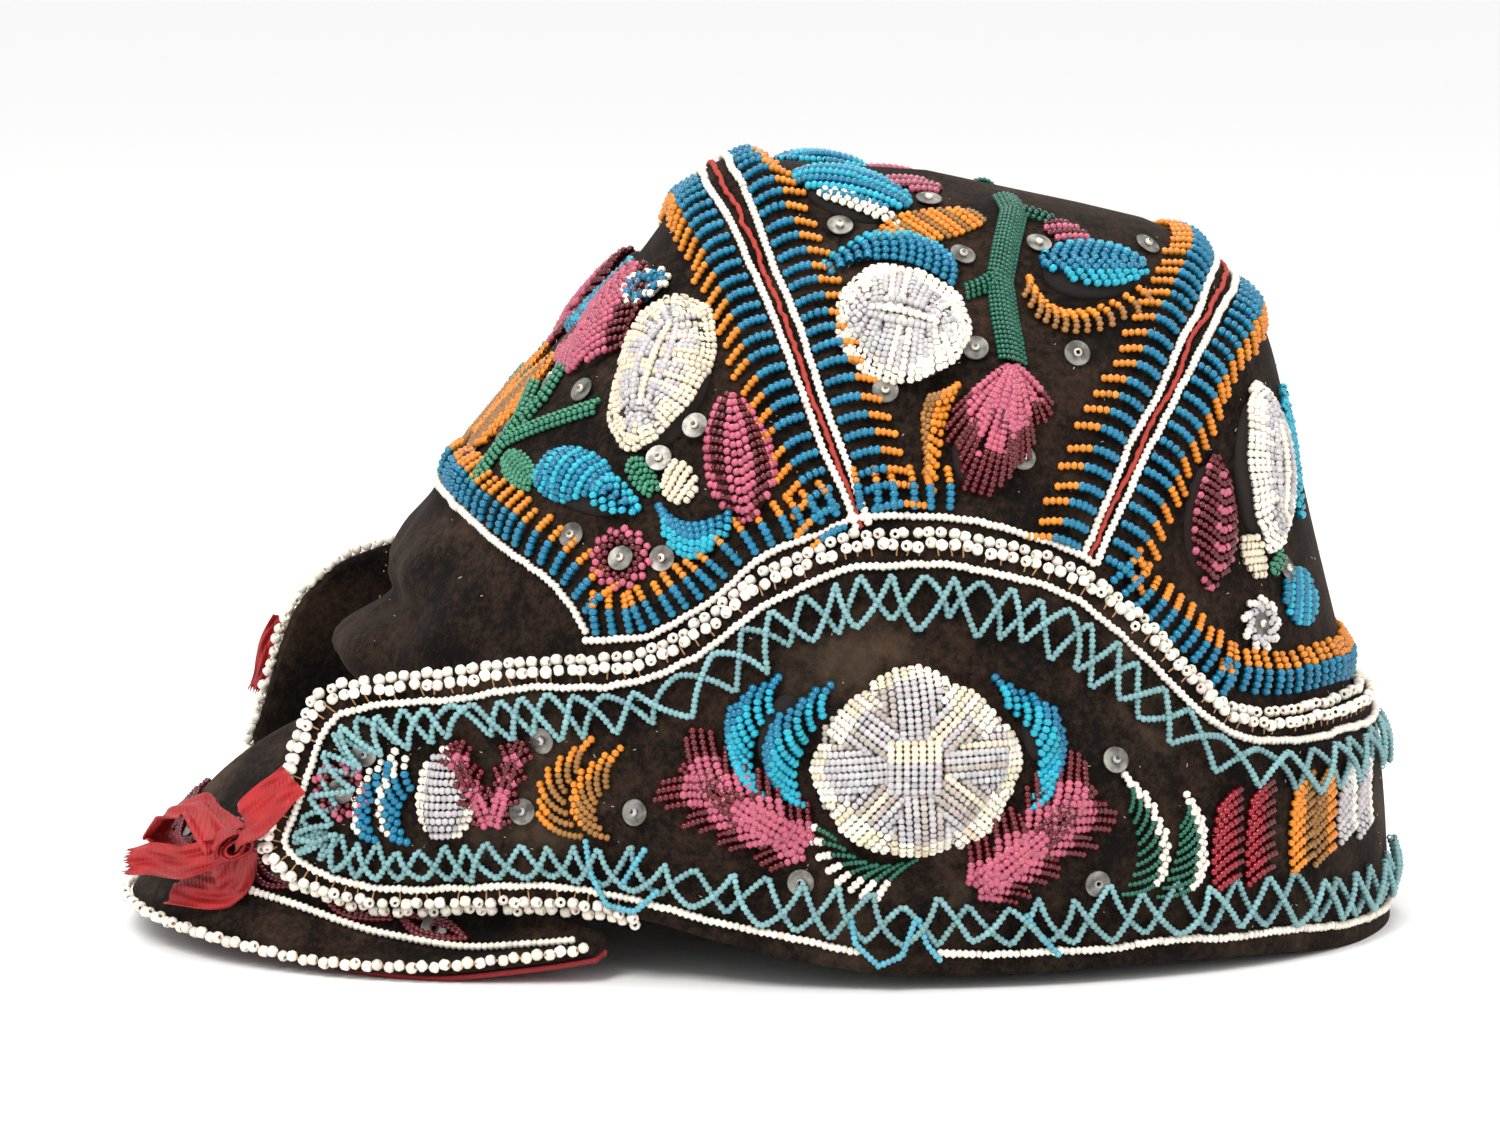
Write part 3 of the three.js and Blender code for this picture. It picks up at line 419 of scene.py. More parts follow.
# Materials
def new_material(name, colour, roughness):
    """A plain material with its nodes, links and shader."""
    material = bpy.data.materials.new(name)
    material.use_nodes = True
    shader = material.node_tree.nodes["Principled BSDF"]
    shader.inputs["Base Color"].default_value = (*colour, 1)
    shader.inputs["Roughness"].default_value = roughness
    return material, material.node_tree.nodes, material.node_tree.links, shader


def noise_node(nodes, links, scale, detail=3.0, rough=0.5):
    """Noise that is fixed to the object."""
    place = nodes.new("ShaderNodeTexCoord")
    noise = nodes.new("ShaderNodeTexNoise")
    noise.inputs["Scale"].default_value = scale
    noise.inputs["Detail"].default_value = detail
    noise.inputs["Roughness"].default_value = rough
    links.new(place.outputs["Object"], noise.inputs["Vector"])
    return noise


def ramp_node(nodes, links, source, stops):
    """A colour ramp with (place, colour) stops."""
    ramp = nodes.new("ShaderNodeValToRGB")
    links.new(source, ramp.inputs["Fac"])
    for i, (place, colour) in enumerate(stops):
        element = ramp.color_ramp.elements[i] if i < 2 else ramp.color_ramp.elements.new(place)
        element.position = place
        element.color = (*colour, 1)
    return ramp


def bump_node(nodes, links, source, strength, distance):
    """Bump that takes its height from a source."""
    bump = nodes.new("ShaderNodeBump")
    bump.inputs["Strength"].default_value = strength
    bump.inputs["Distance"].default_value = distance
    links.new(source, bump.inputs["Height"])
    return bump


def fine_bump(parts, scale, detail, strength, distance):
    """A material's surface roughened by fine noise."""
    _, nodes, links, shader = parts
    noise = noise_node(nodes, links, scale, detail)
    bump = bump_node(nodes, links, noise.outputs["Fac"], strength, distance)
    links.new(bump.outputs["Normal"], shader.inputs["Normal"])


def two_tone(parts, scale, stops):
    """A material's colour varied by noise between the tones of a ramp."""
    _, nodes, links, shader = parts
    noise = noise_node(nodes, links, scale, 3)
    ramp = ramp_node(nodes, links, noise.outputs["Fac"], stops)
    links.new(ramp.outputs["Color"], shader.inputs["Base Color"])


def velvet_material(name, dark, light, worn):
    """Short-pile velvet: nap patches, worn lighter spots, fine pile bump and an edge sheen."""
    material, nodes, links, shader = new_material(name, dark, 0.95)
    nap = noise_node(nodes, links, 60, 5, 0.65)
    fibre = noise_node(nodes, links, 620, 5, 0.8)
    blend = nodes.new("ShaderNodeMixRGB")
    blend.inputs["Fac"].default_value = 0.55
    links.new(nap.outputs["Fac"], blend.inputs["Color1"])
    links.new(fibre.outputs["Fac"], blend.inputs["Color2"])
    colour = ramp_node(nodes, links, blend.outputs["Color"], [(0.45, dark), (0.64, light)])
    wear = noise_node(nodes, links, 24, 8, 0.72)
    mask = ramp_node(nodes, links, wear.outputs["Fac"], [(0.55, (0, 0, 0)), (0.78, (1, 1, 1))])
    mix = nodes.new("ShaderNodeMixRGB")
    mix.inputs["Color2"].default_value = (*worn, 1)
    links.new(mask.outputs["Color"], mix.inputs["Fac"])
    links.new(colour.outputs["Color"], mix.inputs["Color1"])
    links.new(mix.outputs["Color"], shader.inputs["Base Color"])
    pile = noise_node(nodes, links, 2600, 2, 0.7)
    bump = bump_node(nodes, links, pile.outputs["Fac"], 0.55, 0.0004)
    folds = noise_node(nodes, links, 70, 3, 0.5)
    bump_two = bump_node(nodes, links, folds.outputs["Fac"], 0.35, 0.0015)
    links.new(bump.outputs["Normal"], bump_two.inputs["Normal"])
    links.new(bump_two.outputs["Normal"], shader.inputs["Normal"])
    shader.inputs["Sheen Weight"].default_value = 0.06
    shader.inputs["Sheen Roughness"].default_value = 0.3
    shader.inputs["Sheen Tint"].default_value = (0.7, 0.48, 0.36, 1)
    shader.inputs["Specular IOR Level"].default_value = 0.15
    return material


def linear(red, green, blue):
    """A colour of 0 to 255 steps as scene-linear values."""
    values = np.array([red, green, blue], float) / 255
    return tuple(np.where(values <= 0.04045, values / 12.92, ((values + 0.055) / 1.055) ** 2.4))


VELVET = velvet_material("velvet", linear(11, 7, 5), linear(54, 39, 30), linear(82, 67, 54))
lining_parts = new_material("red_cotton", linear(135, 30, 34), 0.8)
LINING = lining_parts[0]
fine_bump(lining_parts, 1500, 2, 0.4, 0.0003)


def bead_material(name, roughness, coat, specular=0.5):
    """Glass beads that take their colour from the mesh, with gloss set for one kind of glass."""
    material, nodes, links, shader = new_material(name, (0.5, 0.5, 0.5), roughness)
    colour = nodes.new("ShaderNodeAttribute")
    colour.attribute_name = "bead_colour"
    links.new(colour.outputs["Color"], shader.inputs["Base Color"])
    shader.inputs["Coat Weight"].default_value = coat
    shader.inputs["Coat Roughness"].default_value = 0.12
    shader.inputs["Specular IOR Level"].default_value = specular
    return material


CHALK = bead_material("chalk_beads", 0.42, 0.25)
GLASS = bead_material("glass_beads", 0.2, 0.35, specular=0.35)

piping_parts = new_material("red_cord", linear(158, 48, 38), 0.85)
PIPING = piping_parts[0]
fine_bump(piping_parts, 900, 2, 0.7, 0.0004)

ribbon_parts = new_material("silk_ribbon", linear(150, 2, 8), 0.55)
RIBBON, nodes, links, shader = ribbon_parts
two_tone(ribbon_parts, 130, [(0.2, linear(118, 0, 5)), (0.7, linear(164, 3, 11))])
warp = nodes.new("ShaderNodeTexWave")
warp.inputs["Scale"].default_value = 420
warp.inputs["Distortion"].default_value = 3
place = nodes.new("ShaderNodeTexCoord")
links.new(place.outputs["Object"], warp.inputs["Vector"])
threads = bump_node(nodes, links, warp.outputs["Fac"], 0.35, 0.0002)
links.new(threads.outputs["Normal"], shader.inputs["Normal"])
shader.inputs["Sheen Weight"].default_value = 0.05

sequin_parts = new_material("sequin_metal", linear(118, 116, 112), 0.38)
SEQUIN = sequin_parts[0]
sequin_parts[3].inputs["Metallic"].default_value = 0.75
two_tone(sequin_parts, 380, [(0.35, linear(78, 76, 72)), (0.7, linear(150, 148, 142))])

thread_parts = new_material("tan_thread", linear(176, 132, 88), 0.8)
THREAD = thread_parts[0]
fine_bump(thread_parts, 700, 2, 0.5, 0.0002)

floor_parts = new_material("floor", (0.93, 0.93, 0.93), 0.85)
FLOOR = floor_parts[0]
fine_bump(floor_parts, 60, 2, 0.02, 0.0002)


def make_mesh(name, points, faces, materials, smooth=True):
    """A mesh object in metres from points in millimetres and quads or triangles."""
    points = np.asarray(points, float).reshape(-1, 3) * MM
    faces = np.asarray(faces, np.int64)
    mesh = bpy.data.meshes.new(name)
    mesh.vertices.add(len(points))
    mesh.vertices.foreach_set("co", points.ravel().astype(np.float32))
    mesh.loops.add(faces.size)
    mesh.loops.foreach_set("vertex_index", faces.ravel().astype(np.int32))
    mesh.polygons.add(len(faces))
    mesh.polygons.foreach_set("loop_start", (np.arange(len(faces)) * faces.shape[1]).astype(np.int32))
    mesh.update(calc_edges=True)
    mesh.polygons.foreach_set("use_smooth", np.full(len(faces), smooth))
    for material in materials:
        mesh.materials.append(material)
    piece = bpy.data.objects.new(name, mesh)
    bpy.context.collection.objects.link(piece)
    return piece


def grid_faces(rows, columns, closed=False):
    """The quads of a grid of points, closed into a tube if asked."""
    r, c = np.meshgrid(np.arange(rows - 1), np.arange(columns if closed else columns - 1), indexing="ij")
    here, above = r * columns, (r + 1) * columns
    after = (c + 1) % columns
    return np.stack([here + c, here + after, above + after, above + c], -1).reshape(-1, 4)


def shell(name, points, inner, faces, material):
    """A cloth wall between an outer and an inner layer over the chosen quads, with its edges closed."""
    points, inner = points.reshape(-1, 3), inner.reshape(-1, 3)
    faces = np.asarray(faces)
    edges = np.concatenate([faces[:, [i, (i + 1) % 4]] for i in range(4)])
    key = np.sort(edges, axis=1)
    _, where, count = np.unique(key, axis=0, return_inverse=True, return_counts=True)
    rim = edges[count[where.ravel()] == 1]
    used, place = np.unique(faces, return_inverse=True)
    place = place.reshape(faces.shape)
    index = np.full(len(points), -1)
    index[used] = np.arange(len(used))
    total = len(used)
    first, second = index[rim[:, 0]], index[rim[:, 1]]
    walls = np.stack([second, first, first + total, second + total], -1)
    quads = np.concatenate([place, place[:, ::-1] + total, walls])
    return make_mesh(name, np.concatenate([points[used], inner[used]]), quads, [material])


def ridden(piece, *nodes, slot=None):
    """A piece on the one body, in the place of the nodes named."""
    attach(piece, "root")
    if nodes:
        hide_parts(*nodes)
    return piece


# Crown cloth: one fine grid, its quads shared out to the four pieces along the seams
CROWN_ROWS = 112
CROWN_COLUMNS = 208
grid_up = np.linspace(0.0, 1.0, CROWN_ROWS) ** 0.97
grid_turn = np.arange(CROWN_COLUMNS) * 360.0 / CROWN_COLUMNS
UP, TURN = np.meshgrid(grid_up, grid_turn, indexing="ij")


def line_side(points, line):
    """How far points lie above a side-view line that runs along x."""
    order = np.argsort(line["x"])
    x = line["x"][order] * HALF_LENGTH
    z = line["z"][order] * CROWN_HEIGHT
    height = np.interp(points[..., 0] - SHIFT_X, x, z)
    return points[..., 2] - height


def seam_side(points, line):
    """How far points lie behind a side-view line that runs along z."""
    place = np.interp(points[..., 2], line["z"] * CROWN_HEIGHT, line["x"] * HALF_LENGTH)
    return points[..., 0] - SHIFT_X - place


def gusset_side(points):
    """Signed measure, positive above the gusset's arch and behind its ends."""
    x = GUSSET_LINE["x"] * HALF_LENGTH
    z = GUSSET_LINE["z"] * CROWN_HEIGHT
    px = points[..., 0] - SHIFT_X
    pz = points[..., 2]
    best = np.full(px.shape, 1e9)
    sign = np.ones(px.shape)
    for i in range(len(x) - 1):
        dx, dz = x[i + 1] - x[i], z[i + 1] - z[i]
        share = np.clip(((px - x[i]) * dx + (pz - z[i]) * dz) / (dx * dx + dz * dz), 0, 1)
        far = np.hypot(px - x[i] - share * dx, pz - z[i] - share * dz)
        cross = dx * (pz - z[i]) - dz * (px - x[i])
        closer = far < best - 1e-9
        best = np.where(closer, far, best)
        sign = np.where(closer, np.where(cross >= 0, 1.0, -1.0), sign)
    return best * sign


def snapped(up, turn, faces, measure):
    """The grid with the vertices beside one seam moved onto it, and which quads lie behind it."""
    value = measure(crown_point(up, turn)).ravel()
    behind = value[faces].mean(1) > 0
    touched = np.zeros(up.size, int)
    np.bitwise_or.at(touched, faces[behind].ravel(), 1)
    np.bitwise_or.at(touched, faces[~behind].ravel(), 2)
    chosen = np.nonzero(touched == 3)[0]
    u = up.ravel().copy()
    t = turn.ravel().copy()
    du, dt = 0.002, 0.5
    scale_u, scale_t = 1 / 190.0, 1 / 1.4
    for _ in range(3):
        here = measure(crown_point(u[chosen], t[chosen]))
        slope_u = (measure(crown_point(u[chosen] + du, t[chosen])) - here) / du
        slope_t = (measure(crown_point(u[chosen], t[chosen] + dt)) - here) / dt
        weight = (slope_u * scale_u) ** 2 + (slope_t * scale_t) ** 2 + 1e-6
        u[chosen] -= np.clip(here * slope_u * scale_u**2 / weight, -0.008, 0.008)
        t[chosen] -= np.clip(here * slope_t * scale_t**2 / weight, -1.6, 1.6)
    return np.clip(u, 0, 1).reshape(up.shape), t.reshape(turn.shape), behind


crown_faces = grid_faces(CROWN_ROWS, CROWN_COLUMNS, closed=True)
UP, TURN, behind_front = snapped(UP, TURN, crown_faces, lambda p: seam_side(p, FRONT_SEAM))
UP, TURN, behind_back = snapped(UP, TURN, crown_faces, lambda p: seam_side(p, BACK_SEAM))
UP, TURN, over_gusset = snapped(UP, TURN, crown_faces, gusset_side)
UP, TURN, over_base = snapped(UP, TURN, crown_faces, lambda p: line_side(p, BASE_LINE))

crown_outer = crown_point(UP, TURN)
crown_out = crown_normal(UP, TURN)


def wrinkles(points):
    """Soft creases of the plain gusset, in millimetres along the normal."""
    x = points[..., 0] - SHIFT_X
    y = points[..., 1]
    z = points[..., 2]
    near = np.clip((-x - 60) / 25, 0, 1) * np.clip((95 - z) / 12, 0, 1) * np.clip((z - 25) / 15, 0, 1)
    away = np.abs(y)
    wave = np.sin(0.16 * away + 0.21 * z + 0.6) + 0.6 * np.sin(0.31 * away - 0.13 * z + np.sign(y))
    return near * wave * 0.8


crown_outer = crown_outer + crown_out * wrinkles(crown_outer)[..., None]
crown_inner = crown_outer - crown_out * CROWN_WALL
areas = {
    "front_panel": over_base & ~behind_front & over_gusset,
    "top_strip": over_base & behind_front & ~behind_back,
    "back_panel": over_base & behind_back,
    "forehead_gusset": over_base & ~behind_front & ~over_gusset,
}
for node, chosen in areas.items():
    cloth = shell(f"velvet_{node}", crown_outer, crown_inner, crown_faces[chosen], VELVET)
    ridden(cloth, node, slot="velvet")

# Cuff cloth
BAND_COLUMNS = 300
BAND_ROWS = 34
AT, SHARE = np.meshgrid(np.linspace(-2, 2, BAND_COLUMNS), np.linspace(0, 1, BAND_ROWS), indexing="xy")


def band_grid(off):
    """The cuff's face as one grid, off its inner face."""
    low = band_edge(AT, "low")
    return band_point(AT, low + (band_edge(AT, "top") - low) * SHARE, off)


band_outer = band_grid(BAND_WALL)
band_faces = grid_faces(BAND_ROWS, BAND_COLUMNS)
band_cloth = shell("velvet_band", band_outer, band_grid(0.0), band_faces, VELVET)
ridden(band_cloth, "band", slot="velvet")

# Visor cloth and lining
VISOR_COLUMNS = 110
VISOR_ROWS = 24
VISOR_ENDS = 88
LINING_REACH = 0.95


def visor_grid(depth, reach):
    """One layer of the visor as a grid, from its rim to its seat."""
    turns = np.linspace(VISOR_ENDS, -VISOR_ENDS, VISOR_COLUMNS)
    turn_round, out = np.meshgrid(turns, np.linspace(reach, 0, VISOR_ROWS), indexing="xy")
    return visor_layer(turn_round, out, depth)


visor_top = visor_grid(0.0, 1.0)
visor_faces = grid_faces(VISOR_ROWS, VISOR_COLUMNS)
visor_cloth = shell("velvet_visor", visor_top, visor_grid(VISOR_WALL, 1.0), visor_faces, VELVET)
ridden(visor_cloth, "visor", slot="velvet")
lining_top = visor_grid(VISOR_WALL + LINING_GAP, LINING_REACH)
lining_low = visor_grid(VISOR_WALL + LINING_GAP + LINING_WALL, LINING_REACH)
ridden(shell("red_lining", lining_top, lining_low, visor_faces, LINING), "visor_lining", slot="lining")


# Surfaces that beadwork is laid on
def surface_tree(points, faces):
    """A surface that rays and near points can be tried on."""
    corners = [Vector(p) for p in points.reshape(-1, 3)]
    return BVHTree.FromPolygons(corners, [tuple(int(i) for i in f) for f in faces])


CROWN = surface_tree(crown_outer, crown_faces)
BAND = surface_tree(band_outer, band_faces)

turn_angle = math.radians(CAMERA_TURN)
rise_angle = math.radians(CAMERA_RISE)
level = math.cos(rise_angle)
toward = np.array([math.sin(turn_angle) * level, -math.cos(turn_angle) * level, math.sin(rise_angle)])
EYE = CAMERA_TARGET + toward * CAMERA_DISTANCE
RIGHT = np.array([math.cos(turn_angle), math.sin(turn_angle), 0.0])
ABOVE = np.cross(RIGHT, -toward)


def cast(surface, x, y):
    """Where the sight line through a pixel of the picture meets a surface, with the normal there."""
    ray = -toward + RIGHT * (x - PICTURE_WIDTH / 2) / FOCAL_PIXELS
    ray = ray - ABOVE * (y - PICTURE_HEIGHT / 2) / FOCAL_PIXELS
    ray = ray / np.linalg.norm(ray)
    hit, normal, _, _ = surface.ray_cast(Vector(EYE), Vector(ray))
    if hit is None:
        return None
    hit, normal = np.array(hit), np.array(normal)
    return hit, normal if normal @ ray < 0 else -normal


def nearest(surface, point, guide):
    """The nearest place of a surface, with its normal on the guide's side."""
    hit, normal, _, _ = surface.find_nearest(Vector(point))
    normal = np.array(normal)
    return np.array(hit), normal if normal @ guide > 0 else -normal


# Raised pads under the motifs
def motif_frame(motif):
    """The middle of a right-hand motif, its two axes, its normal, its half sizes and its puff."""
    if "up" in motif:
        up, turn = motif["up"], motif["turn"]
        centre = crown_point(up, turn)
        back = unit(crown_point(up, turn - 1) - crown_point(up, turn + 1))
        rise = unit(crown_point(up + 0.01, turn) - crown_point(up - 0.01, turn))
        normal = crown_normal(up, turn)
        size = HALF_WIDTH
    else:
        at, height = motif["at"], motif["height"] * CROWN_HEIGHT
        centre = band_point(at, height, BAND_WALL)
        back = unit(band_point(at - 0.01, height, BAND_WALL) - band_point(at + 0.01, height, BAND_WALL))
        rise = unit(band_point(at, height + 1, BAND_WALL) - band_point(at, height - 1, BAND_WALL))
        normal = unit(np.cross(rise, back))
        normal = normal if normal[1] * centre[1] > 0 else -normal
        size = CROWN_HEIGHT
    tilt = math.radians(motif["tilt"])
    wide_axis = back * math.cos(tilt) + rise * math.sin(tilt)
    tall_axis = -back * math.sin(tilt) + rise * math.cos(tilt)
    return centre, wide_axis, tall_axis, normal, motif["wide"] * size, motif["tall"] * size, motif["puff"]


MOTIFS = {**CROWN_MOTIFS, **BAND_MOTIFS}
PADS = {name: motif_frame(motif) for name, motif in MOTIFS.items()}
PAD_BASE = 0.3
PAD_RISE = 0.78
PAD_REACH = 14
FLIP = np.array([1.0, -1.0, 1.0])


def pad_lift(points):
    """How high the padding raises the beadwork at points on either side of the cap."""
    points = np.asarray(points, float)
    right = points * np.where(points[..., 1:2] < 0, FLIP, 1.0)
    lift = np.zeros(points.shape[:-1])
    for centre, wide_axis, tall_axis, normal, wide, tall, puff in PADS.values():
        away = right - centre
        across = (away @ wide_axis) / wide
        along = (away @ tall_axis) / tall
        share = across**2 + along**2
        over = (share < 1) & (np.abs(away @ normal) < PAD_REACH)
        dome = puff * np.sqrt(np.clip(1 - share, 0, 1)) * PAD_RISE + PAD_BASE
        lift = np.maximum(lift, np.where(over, dome, 0))
    return lift


# Beads: width and length in millimetres, the family that shares a mesh, and the colour
BEADS = {
    name: dict(wide=wide, long=long, family=family, colour=linear(*colour))
    for name, wide, long, family, colour in [
        ("white", 1.75, 1.3, "white", (232, 224, 210)),
        ("cream", 1.7, 1.25, "white", (216, 203, 180)),
        ("large", 2.3, 2.0, "large", (232, 224, 210)),
        ("lavender", 1.65, 1.2, "lavender", (182, 178, 180)),
        ("smoke", 1.65, 1.2, "lavender", (172, 162, 154)),
        ("blue", 2.0, 1.35, "blue", (0, 106, 140)),
        ("sky", 1.95, 1.3, "blue", (18, 154, 178)),
        ("turquoise", 1.5, 1.1, "turquoise", (112, 154, 157)),
        ("loose", 1.5, 1.1, "turquoise", (82, 158, 176)),
        ("orange", 1.75, 1.25, "orange", (208, 124, 22)),
        ("amber", 1.6, 1.1, "orange", (142, 96, 42)),
        ("pink", 1.85, 1.3, "pink", (172, 80, 102)),
        ("maroon", 1.65, 1.15, "pink", (84, 3, 16)),
        ("red", 1.75, 1.25, "pink", (132, 8, 26)),
        ("green", 1.2, 0.95, "green", (6, 84, 64)),
        ("leaf", 1.4, 1.05, "green", (50, 124, 94)),
    ]
}
ROW_GAP = 0.9
BAGS = {}


def keep(bag, points, axes, wide, long, colour):
    """Beads of one kind added to a bag, each with a little of its own size and shade."""
    count = len(points)
    if not count:
        return
    shade = np.clip(rng.normal(1.0, 0.09, (count, 1)), 0.7, 1.25)
    tint = np.clip(rng.normal(1.0, 0.025, (count, 3)), 0.9, 1.1)
    size = np.clip(rng.normal(1.0, 0.035, count), 0.9, 1.1)
    axes = unit(axes + rng.normal(0, 0.05, (count, 3)))
    colours = np.array(colour) * shade * tint
    BAGS.setdefault(bag, []).append((points, axes, wide * size, long * size, colours))


def along_path(path, pitch):
    """Middles and directions of beads threaded on a path at about one pitch."""
    run = run_along(path)
    count = int(round(run[-1] / pitch))
    if count < 1:
        return np.zeros((0, 3)), np.zeros((0, 3))
    at = (np.arange(count) + 0.5) * run[-1] / count
    return sampled(at, run, path), unit(sampled(at + 0.3, run, path) - sampled(at - 0.3, run, path))


def string_beads(area, path, parts, sides="both"):
    """Beads threaded on a path in parts of (kind, share), a share above 1 being a count of beads."""
    run = run_along(path)
    total = run[-1]
    if total < 0.5:
        return
    left = "middle" if sides == "middle" else "left"
    start = 0.0
    for kind, share in parts:
        bead = BEADS[kind]
        look = (bead["wide"], bead["long"], bead["colour"])
        length = share * bead["long"] if share > 1 else share * total
        stop = min(start + length, total) if (kind, share) != parts[-1] else total
        if stop - start > 0.4 * bead["long"]:
            inner = run[(run > start) & (run < stop)]
            piece = sampled(np.concatenate([[start], inner, [stop]]), run, path)
            points, axes = along_path(piece, bead["long"])
            keep((left, area, bead["family"]), points, axes, *look)
            if sides == "both":
                keep(("right", area, bead["family"]), points * FLIP, axes * FLIP, *look)
        start = stop


# Cloth that the camera sees edge-on is treated as turned at least this far towards it
LEAST_FACING = 0.45


class Plane:
    """The flat frame of one motif: pixels become millimetres, and those become points on the cloth."""

    def __init__(self, surface, area, x, y):
        found = cast(surface, x, y)
        step = 0
        # A pixel beside the cloth is moved towards the cap until it meets it
        while found is None and step < 60:
            step += 2
            found = cast(surface, x + (step if x < 800 else -step) * 0.7, y + step * 0.5)
        self.surface, self.area = surface, area
        self.hit, self.normal = found
        self.x, self.y = (x, y)
        self.scale = ((EYE - self.hit) @ toward) / FOCAL_PIXELS
        facing = self.normal @ toward
        if facing < LEAST_FACING:
            self.normal = unit(self.normal + toward * (LEAST_FACING - facing))
        self.first = unit(RIGHT - self.normal * (RIGHT @ self.normal))
        self.second = np.cross(self.normal, self.first)
        self.second = self.second if self.second @ ABOVE > 0 else -self.second
        frame_rows = np.stack([RIGHT, ABOVE, self.normal])
        self.to_plane = np.linalg.inv(frame_rows)

    def flat(self, x, y):
        """A pixel of the picture as a point of the plane."""
        moved = self.to_plane @ np.array([(x - self.x) * self.scale, -(y - self.y) * self.scale, 0.0])
        return np.array([moved @ self.first, moved @ self.second])

    def width(self, pixels, across):
        """A width in pixels as one in millimetres along a direction of the plane."""
        direction = self.first * across[0] + self.second * across[1]
        shown = max(math.hypot(direction @ RIGHT, direction @ ABOVE), 0.4)
        return pixels * self.scale / shown

    def place(self, flat, lift):
        """Points on the cloth, or on the padding over it, raised by lift."""
        spots = [self.hit + self.first * u + self.second * v for u, v in flat]
        hits, normals = map(np.array, zip(*[nearest(self.surface, spot, self.normal) for spot in spots]))
        return hits + normals * (pad_lift(hits) + lift)[:, None]

    def row(self, start, stop, parts, bend=0.0, arch=0.6, low=0.7):
        """One string of beads between two flat points, bent sideways and arched off the cloth."""
        start, stop = np.asarray(start, float), np.asarray(stop, float)
        length = np.linalg.norm(stop - start)
        if length < 1.2:
            return
        t = np.linspace(0, 1, max(4, int(length / 1.6) + 2))
        side = np.array([-(stop - start)[1], (stop - start)[0]])
        hump = 4 * t * (1 - t)
        points = start + (stop - start) * t[:, None] + side * (bend * hump)[:, None]
        string_beads(self.area, self.place(points, low + arch * hump), parts)


def leaf_outline(q):
    """A leaf's half width at a share of its length, 1 at its widest."""
    return np.sin(np.pi * np.clip(q, 0, 1) ** 0.85) ** 0.7


def rib_frame(plane, x0, y0, x1, y1, wide):
    """A motif's base and tip on its plane, its length, its two directions and its half width."""
    base, tip = plane.flat(x0, y0), plane.flat(x1, y1)
    length = np.linalg.norm(tip - base)
    along = (tip - base) / length
    across = np.array([-along[1], along[0]])
    return base, tip, length, along, across, plane.width(wide / 2, across)


def feather(plane, x0, y0, x1, y1, wide, parts, lean=50, second=None):
    """A leaf of slanting strings that meet at a midrib, from its base to its tip."""
    base, tip, length, along, across, half = rib_frame(plane, x0, y0, x1, y1, wide)
    slant = math.radians(lean)
    step = BEADS[parts[0][0]]["wide"] * ROW_GAP / math.sin(slant)
    reach = half / math.tan(slant)
    t = np.linspace(0, 1.6 * half / math.sin(slant), 60)
    for side in (-1, 1):
        for i, s in enumerate(np.arange(-reach, length - 0.5, step)):
            ahead = s + t * math.cos(slant)
            sideways = t * math.sin(slant)
            inside = (ahead > 0) & (ahead < length) & (sideways < half * leaf_outline(ahead / length))
            if not inside.any():
                continue
            # One draw for each string keeps the draws that follow as they are
            rng.uniform(-1, 1)
            ends = [
                base + along * (s + d * math.cos(slant)) + across * side * d * math.sin(slant)
                for d in t[inside][[0, -1]]
            ]
            chosen = second if second and i % 2 else parts
            plane.row(*ends, chosen, arch=0.5)


def oval_frame(plane, x0, y0, x1, y1, wide):
    """An oval's middle, its two directions and its two half sizes."""
    low, high, length, along, across, half = rib_frame(plane, x0, y0, x1, y1, wide)
    return (low + high) / 2, along, across, length / 2, half


def base_layer(plane, centre, along, across, long_half, half, kind):
    """Low strings side by side over an oval, so that no padding shows between those above them."""
    inset = 0.86
    for offset in np.arange(-inset * long_half, inset * long_half, BEADS[kind]["wide"] * ROW_GAP):
        reach = inset * half * math.sqrt(1 - (offset / long_half) ** 2)
        ends = [centre + along * offset + across * s * reach for s in (-1, 1)]
        plane.row(*ends, [(kind, 1)], arch=0.0, low=0.25)


def rose(plane, x0, y0, x1, y1, wide, rim, heart):
    """An oval flower: strings run in from a rim of one kind of bead to a raised middle rib."""
    centre, along, across, long_half, half = oval_frame(plane, x0, y0, x1, y1, wide)
    angle = np.linspace(0, 2 * np.pi, 721)
    ring = np.stack([long_half * np.cos(angle), half * np.sin(angle)], -1)
    run = run_along(ring)
    base_layer(plane, centre, along, across, long_half, half, heart)
    count = int(run[-1] / (BEADS[rim]["wide"] * ROW_GAP))
    for i in range(count):
        at = run[-1] * (i + rng.uniform(-0.12, 0.12)) / count
        theta = np.interp(at, run, angle)
        scallop = 1 + 0.02 * math.sin(9 * theta)
        outer = np.array([long_half * math.cos(theta), half * math.sin(theta)]) * scallop
        inner = np.array([np.clip(outer[0] * 0.6, -0.6 * long_half, 0.6 * long_half), 0])
        # One string in four stops short of the rib, and round its ends, where they crowd, three in four
        beside_rib = abs(outer[0]) < 0.62 * long_half
        starts = (0.04, 0.05, 0.36, 0.05) if beside_rib else (0.05, 0.5, 0.25, 0.7)
        inner = inner + (outer - inner) * starts[i % 4]
        ends = [centre + along * p[0] + across * p[1] for p in (outer, inner)]
        kind = rim if rng.uniform() < 0.25 else heart
        plane.row(*ends, [(rim, 3 + i % 2), (kind, 1)], arch=0.5)
    for offset, kind in ((-1.5, heart), (0.0, rim), (1.5, heart)):
        ends = [centre + along * s * 0.52 * long_half + across * offset for s in (-1, 1)]
        plane.row(*ends, [(kind, 1)], bend=0.05 * offset, arch=0.6, low=1.2)


